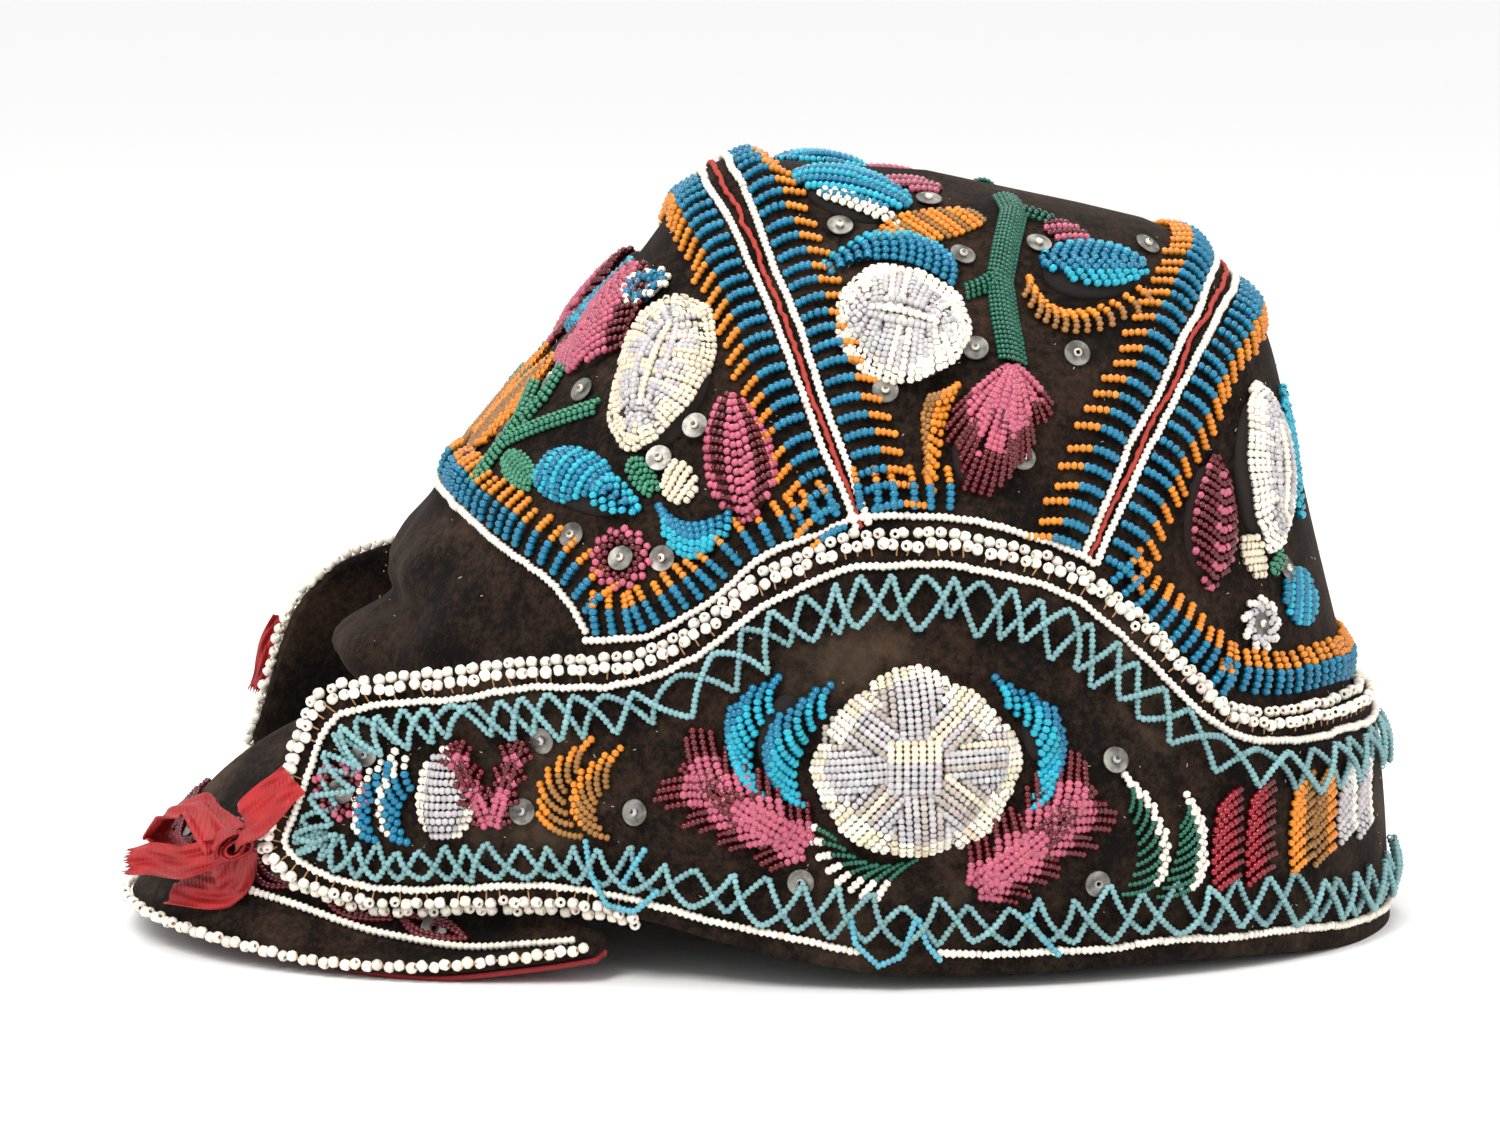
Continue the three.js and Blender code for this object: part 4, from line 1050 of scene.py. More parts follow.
def rosette(plane, x, y, wide, tall, rim, heart):
    """A round flower of straight-strung petals about a square white middle."""
    petals = 8
    oval = oval_frame(plane, x - wide / 2, y, x + wide / 2, y, tall)
    centre, along, across, half_wide, half_tall = oval
    squash = np.array([1.0, half_tall / half_wide])
    step = BEADS[rim]["wide"] * ROW_GAP
    spread = math.tan(math.pi / petals)
    heart_half = 5.2
    base_layer(plane, *oval, "smoke")
    for k in range(petals):
        angle = 2 * math.pi * k / petals + 0.08
        petal = rng.uniform(0.93, 1.06)
        out = np.array([math.cos(angle), math.sin(angle)])
        beside = np.array([-out[1], out[0]])
        for offset in np.arange(-half_wide * spread, half_wide * spread + 0.1, step):
            inner = max(abs(offset) / spread * 0.95 + 0.2, heart_half * 1.05)
            rounding = 1.0 - 0.19 * (offset / (half_wide * spread)) ** 2
            outer = half_wide * petal * rounding + rng.uniform(-0.35, 0.35)
            if outer - inner < 1.5:
                continue
            ends = [(out * r + beside * offset) * squash for r in (outer, inner)]
            spots = [centre + along * p[0] + across * p[1] for p in ends]
            kind = rng.choice([rim, heart, "smoke"], p=[0.1, 0.55, 0.35])
            tip = "white" if rng.uniform() < 0.7 else rim
            plane.row(*spots, [(tip, 3 + k % 2), (kind, 1)], arch=1.3)
    for offset in np.arange(-heart_half, heart_half + 0.1, step):
        spots = [centre + along * offset + across * s * heart_half for s in (1, -1)]
        plane.row(*spots, [(rim, 0.42), (heart, 1)], arch=0.5, low=1.4)


def filled(plane, x0, y0, x1, y1, wide, kinds, slant=90, parts=None):
    """An oval bud of parallel strings laid at an angle to its long axis, kinds taken turn about."""
    centre, along, across, long_half, half = oval_frame(plane, x0, y0, x1, y1, wide)
    turn = math.radians(slant)
    run = np.array([math.cos(turn), math.sin(turn)])
    beside = np.array([-run[1], run[0]])
    step = BEADS[kinds[0]]["wide"] * ROW_GAP
    t = np.linspace(-1, 1, 161) * (long_half + half)
    for i, offset in enumerate(np.arange(-long_half - half, long_half + half, step)):
        spots = run * t[:, None] + beside * offset
        inside = (spots[:, 0] / long_half) ** 2 + (spots[:, 1] / half) ** 2 < 1
        if inside.sum() < 4:
            continue
        ends = spots[inside][[0, -1]]
        flat = [centre + along * p[0] + across * p[1] for p in ends]
        plane.row(*flat, parts or [(kinds[i % len(kinds)], 1)], arch=0.4)


def spray(plane, x0, y0, x1, y1, spread, parts):
    """Strings that open out like a fan from one point to a rounded far edge."""
    apex, tip = plane.flat(x0, y0), plane.flat(x1, y1)
    length = np.linalg.norm(tip - apex)
    middle = math.atan2((tip - apex)[1], (tip - apex)[0])
    half = math.radians(spread) / 2
    step = BEADS[parts[0][0]]["wide"] * ROW_GAP
    count = int(2 * half * length / step)
    starts = (0.05, 0.5, 0.25, 0.72)
    for i in range(count):
        share = (i + 0.5) / count * 2 - 1
        angle = middle + share * half
        reach = length * (1 - 0.3 * share * share) * rng.uniform(0.95, 1.03)
        out = np.array([math.cos(angle), math.sin(angle)])
        inner = starts[i % 4]
        body, last = parts[0], parts[-1]
        inner_share = max(body[1] - inner, 0.05) / (1 - inner)
        plane.row(apex + out * reach * inner, apex + out * reach, [(body[0], inner_share), last], arch=0.8)


def comb(plane, points, frond0, frond1, count, parts, curl=0.12):
    """A row of curved strings from a curved base line, like one side of a feather."""
    base = [plane.flat(*p) for p in points]
    fronds = [
        plane.flat(x + right, y + down) - root
        for (x, y), (right, down), root in ((points[0], frond0, base[0]), (points[2], frond1, base[2]))
    ]
    control = 2 * base[1] - (base[0] + base[2]) / 2
    for i in range(count):
        t = i / max(count - 1, 1)
        root = (1 - t) ** 2 * base[0] + 2 * t * (1 - t) * control + t * t * base[2]
        frond = fronds[0] * (1 - t) + fronds[1] * t
        frond = frond * (1 + 0.18 * math.sin(math.pi * t)) * rng.uniform(0.93, 1.05)
        plane.row(root, root + frond, parts, bend=curl, arch=1.0)


def fern(plane, x0, y0, x1, y1, wide, parts, strings):
    """A bushy frond: fingers of a few strings each fork forward from a thick rib on both sides."""
    base, tip, length, along, across, half = rib_frame(plane, x0, y0, x1, y1, wide)
    fingers, lean = 4, 34
    pitch = BEADS[parts[0][0]]["wide"] * ROW_GAP
    middle = (strings - 1) / 2
    for k in range(fingers):
        share = 0.04 + 0.7 * k / max(fingers - 1, 1)
        for side in (-1, 1):
            slant = math.radians(lean + 20 * (1 - share) + rng.uniform(-4, 4))
            way = along * math.cos(slant) + across * side * math.sin(slant)
            over = np.array([-way[1], way[0]])
            reach = half * (0.66 + 0.36 * math.sin(math.pi * (0.15 + 0.75 * share))) / math.sin(slant)
            root = base + along * length * share * 0.92
            for j in range(strings):
                start = root + over * (j - middle) * pitch
                stretch = (1 - 0.15 * abs(j - middle)) * rng.uniform(0.9, 1.05)
                stop = start + way * reach * stretch
                plane.row(start, stop, parts, bend=-0.05 * side, arch=0.8, low=0.7 + 0.25 * (k % 2))
    for j in range(strings):
        shift = across * (j - middle) * pitch
        stop = tip + shift * 0.7 - along * abs(j - middle) * pitch * 1.5
        plane.row(base + shift, stop, parts, arch=0.5, low=1.2)


def pinwheel(plane, x, y, pixels, count, parts):
    """Short curved strings that swirl about a sequin."""
    centre = plane.flat(x, y)
    radius = pixels * plane.scale
    for i in range(count):
        angle = 2 * math.pi * i / count
        inner = np.array([math.cos(angle), math.sin(angle)]) * radius * 0.5
        outer_angle = angle + math.radians(55)
        outer = np.array([math.cos(outer_angle), math.sin(outer_angle)]) * radius
        plane.row(centre + inner, centre + outer, parts, bend=-0.12, arch=0.8)
    sequin(plane.surface, x, y)


def cloth_path(surface, pixels, spacing=1.0):
    """A path drawn through pixels of the picture, laid on a surface, with the normals along it."""
    found = [cast(surface, x, y) for x, y in pixels]
    points, normals = map(np.array, zip(*[f for f in found if f is not None]))
    run = run_along(points)
    at = np.linspace(0, run[-1], max(int(run[-1] / spacing), 3))
    return laid_on(surface, sampled(at, run, points), sampled(at, run, normals))


def beside(points, normals):
    """The directions along a path and to its left."""
    tangent = unit(np.gradient(points, axis=0))
    return tangent, unit(np.cross(normals, tangent))


# Millimetres to a pixel at the crown's side
PIXEL_SIZE = 0.205
STEM_SLANT = 0.35


def stem(pixels, wide, kind):
    """A raised stalk on the crown, of short strings laid side by side across it."""
    points, normals = cloth_path(CROWN, pixels, BEADS[kind]["wide"] * ROW_GAP)
    tangent, side = beside(points, normals)
    half = wide * PIXEL_SIZE / 2
    for p, n, t, b in zip(points, normals, tangent, side):
        row = []
        for s in np.linspace(-1, 1, 7):
            hit, normal = nearest(CROWN, p + b * half * s + t * half * STEM_SLANT * s, n)
            row.append(hit + normal * (0.6 + 1.3 * (1 - s * s) + 0.5 * pad_lift(hit[None])[0]))
        string_beads("crown", np.array(row), [(kind, 1)])


SEQUINS = []


def sequin(surface, x, y, middle="white"):
    """A sequin at a pixel of the picture, with the kind of bead in its middle."""
    found = cast(surface, x, y)
    if found is None:
        return
    hit, normal = found
    point = hit + normal * (pad_lift(hit[None])[0] * 0.6 + 0.7)
    SEQUINS.append((point, unit(normal + rng.normal(0, 0.12, 3)), middle, "both"))


def laid_on(surface, points, guides=None):
    """A path moved onto a surface, with the normals on the side of the guides, or else outwards."""
    if guides is None:
        guides = np.stack([points[:, 0] * 0.2, points[:, 1], np.full(len(points), 40.0)], -1)
    hits, normals = map(np.array, zip(*[nearest(surface, p, g) for p, g in zip(points, guides)]))
    return hits, unit(normals)


# Crown paths that follow the seams and edges, from the left-hand side to the middle
PATH_STEP = 0.5
CUFF_CLEARANCE = 2.5


def above_cuff(points, furthest):
    """The part of a path on the crown that is clear of the cuff's top edge."""
    turn = np.degrees(np.arctan2(-points[:, 1] / HALF_WIDTH, (points[:, 0] - SHIFT_X) / HALF_LENGTH))
    at = -np.minimum(np.abs(turn) / TEMPLE, furthest)
    return points[points[:, 2] > band_edge(at, "top") + CUFF_CLEARANCE]


def seam_path(line):
    """The left-hand half of a crown seam, from the cuff up to the crest, on the surface."""
    z = np.linspace(0.25, 1.15, 1500) * CROWN_HEIGHT
    x = np.interp(z, line["z"] * CROWN_HEIGHT, line["x"] * HALF_LENGTH)
    half = side_half_width(x, z)
    last = np.nonzero(half > 0.8)[0][-1]
    points = np.stack([x + SHIFT_X, -half, z], -1)[: last + 1]
    crest = points[-1] * np.array([1.0, 0.0, 1.0])
    return above_cuff(even(np.concatenate([points, crest[None]]), PATH_STEP), np.inf)


def gusset_path():
    """The left-hand half of the gusset's seam, from the cuff up and round to the front."""
    s = np.linspace(0, len(GUSSET_LINE["x"]) - 1, 1200)
    index = np.arange(len(GUSSET_LINE["x"]))
    x = np.interp(s, index, GUSSET_LINE["x"] * HALF_LENGTH)
    z = np.interp(s, index, GUSSET_LINE["z"] * CROWN_HEIGHT)
    half = side_half_width(x, z)
    kept = half > 0.8
    points = np.stack([x + SHIFT_X, -half, z], -1)[kept]
    points = even(np.concatenate([points[:1] * np.array([1.0, 0.0, 1.0]), points]), PATH_STEP)[::-1]
    return above_cuff(np.concatenate([points[:1], smoothed(points, 25), points[-1:]]), 0.95)


def cuff_path(start, stop, above):
    """A path on the crown just above the cuff's top edge, on the left-hand side."""
    at = np.linspace(start, stop, 240)
    turn = at * TEMPLE
    height = band_edge(-at, "top") + above
    return even(crown_point(ring_for_height(turn, height), turn) * FLIP, PATH_STEP)


def offset_path(points, distance):
    """A path moved sideways over the crown, to the left of its run for a positive distance."""
    points, normals = laid_on(CROWN, points)
    _, side = beside(points, normals)
    return laid_on(CROWN, points + side * np.reshape(distance, (-1, 1)))


# How high a plain string of beads lies on the cloth
STRING_LIFT = 0.75


def edge_string(points, distance, kind, wander=0.25):
    """One string beside a path on the crown, wandering a little from side to side."""
    moved, normals = offset_path(points, distance)
    wave = soft_noise(len(moved), 25, 5)
    _, side = beside(moved, normals)
    lift = STRING_LIFT + pad_lift(moved)[:, None] * 0.3
    string_beads("crown", moved + side * wave[:, None] * wander + normals * lift, [(kind, 1)])


def lanes(points, start, length, step, lean, skip=0.0, leave=0.0, spread=0.0):
    """Arched two-colour strings that stand on an edge and point into the panel."""
    laid, normals = laid_on(CROWN, points)
    tangent, side = beside(laid, normals)
    stride = max(int(step / PATH_STEP), 1)
    way = 1.0 if length > 0 else -1.0
    for i in range(int(skip / PATH_STEP), len(laid) - 1 - int(leave / PATH_STEP), stride):
        t = np.linspace(0, 1, 9)
        begin = start + spread * (i / len(laid)) ** 2
        reach = length * rng.uniform(0.92, 1.06)
        drift = lean * abs(length) * t**2 + rng.uniform(-0.25, 0.25)
        row = laid[i] + side[i] * (way * begin + reach * t)[:, None] + tangent[i] * drift[:, None]
        path = []
        for p, share in zip(row, t):
            hit, normal = nearest(CROWN, p, normals[i])
            arch = 1.5 * math.sin(math.pi * min(share * 1.05, 1))
            path.append(hit + normal * (0.6 + arch + 0.45 * pad_lift(hit[None])[0]))
        string_beads("lanes", np.array(path), [("blue", 0.56), ("orange", 1)])


front_seam = seam_path(FRONT_SEAM)
back_seam = seam_path(BACK_SEAM)
gusset_seam = gusset_path()
front_cuff = cuff_path(1.025, 0.545, 3.2)
strip_cuff = cuff_path(0.53, 0.40, 2.6)
# Pixels at the feet of the lanes behind the back seam
BACK_FEET = [
    (1090, 563), (1107, 583), (1124, 602), (1142, 621), (1160, 638), (1180, 656),
    (1200, 674), (1222, 689), (1250, 697), (1280, 698), (1310, 692), (1336, 684),
]
back_cuff, _ = cloth_path(CROWN, BACK_FEET, PATH_STEP)
behind = cuff_path(0.2, 0.0, 3.0)
further = behind[behind[:, 0] > back_cuff[-1, 0] + 1.5]
back_cuff = even(np.concatenate([back_cuff, further]), PATH_STEP)

for seam in (front_seam, back_seam):
    opening = 1.7 + 1.5 * np.linspace(0, 1, len(seam)) ** 2
    edge_string(seam, opening, "white", wander=0.22)
    edge_string(seam, -opening, "white", wander=0.22)
    lanes(seam, 3.0, 10.4, 4.0, lean=-0.3, skip=1.5, spread=1.4)
    lanes(seam, 3.0, -10.4, 4.0, lean=-0.25, skip=2.5, spread=1.4)
edge_string(gusset_seam, -1.2, "white")
lanes(gusset_seam, 2.6, -9.6, 3.5, lean=0.05, skip=4)
edge_string(front_cuff, 1.4, "white")
lanes(front_cuff, 2.8, 8.6, 3.6, lean=-0.1, skip=3, leave=29)
lanes(strip_cuff, 0.6, 7.4, 4.2, lean=0.0, skip=31, leave=1)
lanes(back_cuff, 0.6, 9.2, 3.6, lean=0.0, skip=6)


# Motifs of the crown, each from pixels of the picture
def crown_motif(x, y):
    """The plane of a motif on the crown about a pixel of the picture."""
    return Plane(CROWN, "crown", x, y)


BLUE_SKY = [("blue", 0.5), ("sky", 1)]
ORANGE_AMBER = [("orange", 0.5), ("amber", 1)]
PINK_RED = [("pink", 0.56), ("maroon", 1)]

# Front panel
stem([(478, 484), (503, 449), (524, 419), (538, 387), (549, 346), (561, 314)], 17, "leaf")
stem([(515, 440), (542, 428), (570, 418), (598, 409)], 16, "leaf")
stem([(528, 422), (547, 400), (565, 371)], 13, "leaf")
feather(crown_motif(522, 472), 505, 454, 540, 492, 32, [("leaf", 1)])
filled(crown_motif(526, 380), 518, 386, 534, 372, 14, ["green"])
feather(crown_motif(510, 392), 464, 444, 547, 342, 36, [("amber", 0.5), ("orange", 1)])
feather(crown_motif(610, 318), 566, 376, 652, 262, 66, [("pink", 0.6), ("maroon", 1)], lean=38)
feather(crown_motif(604, 300), 571, 338, 637, 254, 17, BLUE_SKY, lean=35)
pinwheel(crown_motif(652, 292), 652, 292, 26, 9, [("blue", 0.6), ("white", 1)])
rose(crown_motif(662, 376), 634, 452, 692, 297, 92, "cream", "lavender")
filled(crown_motif(576, 478), 534, 470, 612, 484, 58, ["sky", "blue"], slant=78)
feather(crown_motif(616, 500), 594, 486, 641, 514, 36, [("blue", 0.4), ("sky", 1)])
red_heart = [("pink", 0.35), ("maroon", 0.4), ("pink", 1)]
feather(crown_motif(733, 457), 748, 522, 732, 392, 72, red_heart, lean=62)
feather(crown_motif(644, 479), 629, 457, 661, 502, 26, [("leaf", 1)])
filled(crown_motif(680, 486), 662, 490, 698, 480, 40, ["cream"], slant=40)
comb(crown_motif(692, 520), [(658, 505), (688, 524), (728, 512)], (8, 34), (-4, 26), 11, BLUE_SKY)
pinwheel(crown_motif(622, 559), 622, 559, 32, 12, [("maroon", 0.45), ("pink", 1)])

# Top strip
rose(crown_motif(903, 327), 838, 312, 968, 342, 118, "white", "lavender")
crest = [(832, 276), (893, 262), (950, 287)]
comb(crown_motif(893, 268), crest, (-10, -14), (-8, -38), 15, [("blue", 0.7), ("sky", 1)], curl=-0.15)
filled(crown_motif(930, 228), 874, 240, 986, 216, 36, ["orange", "orange", "amber"], slant=-62)
filled(crown_motif(850, 190), 794, 170, 910, 208, 44, ["blue", "sky"], slant=10)
filled(crown_motif(858, 216), 812, 196, 904, 230, 13, ["white"], slant=60)
filled(crown_motif(912, 188), 884, 182, 942, 192, 18, ["pink", "maroon"], slant=20)
trunk = [(1012, 362), (1005, 324), (999, 283), (1006, 245), (1013, 216), (1006, 203)]
stem(trunk, 27, "green")
stem([(996, 280), (982, 288), (966, 294)], 18, "green")
stem([(1016, 214), (1032, 218), (1048, 224)], 14, "green")
for x, y, spread in ((950, 446, 30), (974, 497, 34), (1046, 424, 38), (1010, 470, 30)):
    spray(crown_motif(1000, 430), 1014, 362, x, y, spread, [("pink", 0.7), ("maroon", 1)])
wing = [(958, 388), (944, 430), (934, 494)]
comb(crown_motif(928, 436), wing, (-30, 12), (-8, -26), 12, [("orange", 0.6), ("amber", 1)])
feather(crown_motif(1092, 268), 1040, 266, 1150, 272, 54, [("blue", 0.55), ("sky", 1)], lean=58)
hem = [(1028, 278), (1066, 314), (1136, 288)]
comb(crown_motif(1078, 300), hem, (-6, 22), (18, 16), 13, ORANGE_AMBER)
filled(crown_motif(1064, 235), 1042, 228, 1088, 242, 20, ["pink", "maroon"], slant=30)

# Back panel
red_heart = [("pink", 0.3), ("maroon", 0.5), ("pink", 1)]
feather(crown_motif(1211, 520), 1207, 588, 1214, 452, 54, red_heart, lean=62, second=[("maroon", 1)])
rose(crown_motif(1262, 468), 1268, 552, 1260, 382, 56, "white", "lavender")
feather(crown_motif(1288, 450), 1282, 376, 1296, 530, 14, [("sky", 1)], lean=40)
filled(crown_motif(1252, 557), 1240, 536, 1262, 578, 24, ["cream"], slant=60)
feather(crown_motif(1272, 562), 1264, 578, 1286, 546, 14, [("leaf", 1)])
filled(crown_motif(1296, 598), 1280, 600, 1316, 594, 60, ["sky", "blue"], slant=70)
pinwheel(crown_motif(1258, 624), 1258, 624, 27, 9, [("lavender", 0.6), ("white", 1)])

# Sequins of the crown, two of them with a dark bead in the middle
CROWN_SEQUINS = [
    (584, 392), (698, 430), (662, 462), (507, 433), (471, 459), (573, 536),
    (663, 559), (555, 380), (928, 202), (962, 257), (975, 350), (1076, 355),
    (1038, 246), (1146, 247), (885, 392), (1020, 460), (840, 228), (1284, 569),
]
DARK_MIDDLES = [(507, 433), (471, 459)]
for x, y in CROWN_SEQUINS:
    sequin(CROWN, x, y, "maroon" if (x, y) in DARK_MIDDLES else "white")


# Cuff: flat coordinates are the run along it from the back and the height
run_at = np.linspace(0, 2, 801)
run_length = run_along(band_point(-run_at, np.full(run_at.shape, 0.22 * CROWN_HEIGHT), BAND_WALL))
TEMPLE_RUN = run_length[len(run_at) // 2]


def on_cuff(side, run, height, off):
    """Points on the cuff's outer face at a run along it from the back and a height."""
    run = np.asarray(run, float)
    at = np.interp(np.abs(run), run_length, run_at)
    beyond = np.maximum(np.abs(run) - run_length[-1], 0) / FLAP_LENGTH
    at = np.maximum(at + beyond, 1e-4)
    off = BAND_WALL + np.broadcast_to(off, at.shape)
    return band_point(side * at, height, off)


# The run over which the cuff's side turns into its flap
FLAP_START = float(np.interp(0.92, run_at, run_length))
FLAP_FULL = float(np.interp(1.12, run_at, run_length))


def cuff_line(side, inset, flap_inset=None, smooth=9):
    """The cuff's outline on one side, moved inwards: over the top, round the flap and back below."""
    rounding = 1.8 + 0.2 * np.sin(np.linspace(0, np.pi / 2, 60))
    stops = np.unique(np.concatenate([np.linspace(0.0, 1.8, 260), rounding]))
    run = np.interp(stops, run_at, run_length)
    top = np.stack([run, band_edge(side * stops, "top")], -1)
    low = np.stack([run, band_edge(side * stops, "low")], -1)[::-1]
    line = np.concatenate([top, low])
    steps = run_along(line)
    line = sampled(np.linspace(0, steps[-1], int(steps[-1] / 0.6)), steps, line)
    ahead = np.gradient(line, axis=0)
    inward = np.stack([ahead[:, 1], -ahead[:, 0]], -1)
    inward = inward / np.linalg.norm(inward, axis=1, keepdims=True)
    flap_inset = inset if flap_inset is None else flap_inset
    depth = np.interp(line[:, 0], [FLAP_START, FLAP_FULL], [inset, flap_inset])
    moved = line + inward * depth[:, None]
    pad = smooth // 2
    wide = np.concatenate([np.repeat(moved[:1], pad, 0), moved, np.repeat(moved[-1:], pad, 0)])
    return smoothed(wide, smooth)


def cuff_string(side, line, kind, torn=None):
    """One string along a line of the cuff, lost where it is torn between two places along the cap."""
    name = "left" if side < 0 else "right"
    wave = soft_noise(len(line), 25, 5)
    points = on_cuff(side, line[:, 0], line[:, 1] + wave * 0.32, STRING_LIFT)
    bead = BEADS[kind]
    places, axes = along_path(points, bead["long"])
    if torn:
        upper = np.arange(len(places)) < len(places) / 2
        whole = upper | (places[:, 0] < torn[0]) | (places[:, 0] > torn[1])
        places, axes = places[whole], axes[whole]
    keep((name, "cuff", bead["family"]), places, axes, bead["wide"], bead["long"], bead["colour"])


def zigzag(side, outer, inner, first, lift):
    """One turquoise string that runs to and fro between two lines on the cuff, closer set on the flap."""
    name = "left" if side < 0 else "right"
    steps = run_along(outer)
    corners = []
    s = 0.8
    number = first
    while s < steps[-1] - 2:
        index = s / steps[-1] * (len(outer) - 1)
        source = outer if number % 2 == 0 else inner
        corner = sampled(index, np.arange(len(source)), source)
        corners.append(corner + rng.normal(0, 0.8 if number % 2 else 0.3, 2))
        run = np.interp(index, np.arange(len(outer)), outer[:, 0])
        s += np.interp(run, [FLAP_START, FLAP_FULL], [7.0, 5.0])
        number += 1
    bead = BEADS["turquoise"]
    flat = []
    height = []
    for a, b in zip(corners[:-1], corners[1:]):
        t = np.arange(0, 1, 0.3 / max(np.linalg.norm(b - a), 1.0))
        bow = np.array([-(b - a)[1], (b - a)[0]]) * rng.uniform(-0.06, 0.14)
        flat.append(a + (b - a) * t[:, None] + bow * (4 * t * (1 - t))[:, None])
        height.append(0.9 * np.sin(np.pi * t))
    flat = np.concatenate(flat)
    height = np.concatenate(height)
    soft = smoothed(flat, 9)
    points = on_cuff(side, soft[:, 0], soft[:, 1], lift + height[4:-4])
    places, axes = along_path(points, bead["long"])
    # The thread's beads change tone slowly, every 24 of them
    number = np.arange(len(places))
    knots = np.arange(0, len(places) + 24, 24)
    tones = np.interp(number, knots, rng.uniform(0.78, 1.12, len(knots)))
    colours = np.array(bead["colour"]) * tones[:, None]
    keep((name, "cuff", bead["family"]), places, axes, bead["wide"], bead["long"], colours)


# Between these places along the cap the left-hand lower string is gone
TORN = (12.5, 28.0)
for side in (-1, 1):
    cuff_string(side, cuff_line(side, 4.4, 3.4, 21), "white", torn=TORN if side < 0 else None)
    near_line = cuff_line(side, 5.9, 4.9, 21)
    depth = cuff_line(side, 15.8, 12.4, 45)
    zigzag(side, near_line, depth, 0, 0.75)
    zigzag(side, near_line, depth, 1, 1.75)

# Large beads round the cuff's edge in two rows
def edge_beads(side, line, lift, shift):
    """Large beads along a line at the cuff's edge, with their holes turned every way."""
    points = on_cuff(side, line[:, 0], line[:, 1], lift)
    bead = BEADS["large"]
    pitch = bead["wide"] * 1.08
    steps = run_along(points)
    at = np.arange(shift, steps[-1], pitch)
    places = sampled(at, steps, points)
    tangent = unit(np.gradient(places, axis=0))
    outward = unit(places * np.array([0.3, 1.0, 0.2]))
    axes = tangent * rng.uniform(0.2, 1.0, (len(at), 1))
    axes = axes + outward * rng.uniform(-0.2, 0.9, (len(at), 1))
    axes = unit(axes + rng.normal(0, 0.25, (len(at), 3)))
    places = places + rng.normal(0, 0.24, places.shape)
    keep(("both", "edge", "large"), places, axes, bead["wide"], bead["long"], bead["colour"])


def edge_part(side, inset):
    """The part of the cuff's outline that carries large beads: all but the bottom behind the temple."""
    line = cuff_line(side, inset, smooth=5)
    low = (np.arange(len(line)) > len(line) * 0.5) & (line[:, 0] < TEMPLE_RUN - 2)
    return line[~low]


for side in (-1, 1):
    edge_beads(side, edge_part(side, -1.6), -BAND_WALL + 1.2, 0.6)
    edge_beads(side, edge_part(side, 0.3), 1.0, 1.9)


# Cuff motifs
def cuff_motif(x, y):
    """The plane of a motif on the cuff about a pixel of the picture."""
    return Plane(BAND, "cuff", x, y)


rosette(cuff_motif(912, 765), 914, 766, 206, 190, "cream", "lavender")


def combs(rows, parts, curl):
    """Combs that share their strings: pixel of the plane, base line, first and last frond and count."""
    for place, base, first, last, count in rows:
        comb(cuff_motif(*place), base, first, last, count, parts, curl)


BLUE_FEATHER = [("sky", 0.62), ("blue", 1)]
combs(
    [
        ((755, 745), [(772, 714), (752, 757), (770, 797)], (8, -38), (-32, -58), 9),
        ((805, 750), [(823, 718), (797, 765), (806, 806)], (10, -36), (-36, -50), 9),
    ],
    BLUE_FEATHER,
    0.18,
)
front_rim = [(1006, 708), (1036, 755), (1026, 810)]
comb(cuff_motif(1030, 745), front_rim, (-14, -32), (36, -46), 11, BLUE_FEATHER, curl=-0.1)
fern(cuff_motif(745, 805), 806, 848, 676, 762, 98, PINK_RED, strings=4)
fern(cuff_motif(1040, 832), 976, 888, 1096, 784, 96, PINK_RED, strings=4)
GREEN_TUFT = [("green", 0.6), ("white", 1)]
tuft = [(836, 838), (872, 862), (918, 858)]
comb(cuff_motif(880, 870), tuft, (-30, -14), (-42, 42), 8, GREEN_TUFT, curl=-0.1)
pinwheel(cuff_motif(342, 790), 342, 790, 30, 10, [("maroon", 0.5), ("pink", 1)])
combs(
    [
        ((380, 800), [(389, 782), (370, 812), (378, 840)], (10, -36), (-24, -16), 7),
        ((410, 810), [(413, 790), (400, 815), (411, 842)], (-6, -38), (-28, -16), 7),
    ],
    [("blue", 0.6), ("white", 1)],
    0.1,
)
WHITE_BUD = [("white", 2), ("lavender", 0.6), ("white", 1)]
filled(cuff_motif(447, 796), 446, 842, 448, 748, 60, ["white"], slant=94, parts=WHITE_BUD)
fern(cuff_motif(485, 780), 490, 826, 452, 735, 30, [("pink", 0.45), ("maroon", 1)], strings=2)
fern(cuff_motif(505, 780), 494, 826, 524, 733, 34, [("pink", 0.45), ("maroon", 1)], strings=2)
combs(
    [
        ((575, 790), [(578, 772), (566, 803), (584, 836)], (17, -36), (-45, -24), 7),
        ((605, 790), [(608, 788), (596, 812), (611, 838)], (16, -43), (-38, -30), 7),
    ],
    [("amber", 0.58), ("orange", 1)],
    0.12,
)
combs(
    [
        ((1140, 850), [(1128, 812), (1136, 855), (1120, 894)], (-6, -42), (46, -24), 9),
        ((1180, 850), [(1178, 828), (1172, 862), (1154, 896)], (6, -36), (48, -22), 9),
    ],
    [("green", 0.62), ("white", 1)],
    -0.12,
)
for x, top, tall, wide, parts in (
    (1216, 812, 82, 26, [("red", 0.75), ("maroon", 1)]),
    (1249, 804, 82, 26, [("red", 0.6), ("maroon", 1)]),
    (1293, 796, 78, 22, [("orange", 0.5), ("amber", 1)]),
    (1315, 790, 76, 20, [("amber", 0.5), ("orange", 1)]),
    (1340, 782, 62, 16, [("lavender", 0.6), ("white", 1)]),
    (1358, 780, 58, 13, [("lavender", 0.6), ("white", 1)]),
):
    base = [(x, top), (x - 6, top + tall / 2), (x - 4, top + tall)]
    comb(cuff_motif(x, top + tall / 2), base, (wide, -23), (wide + 3, -20), 9, parts)
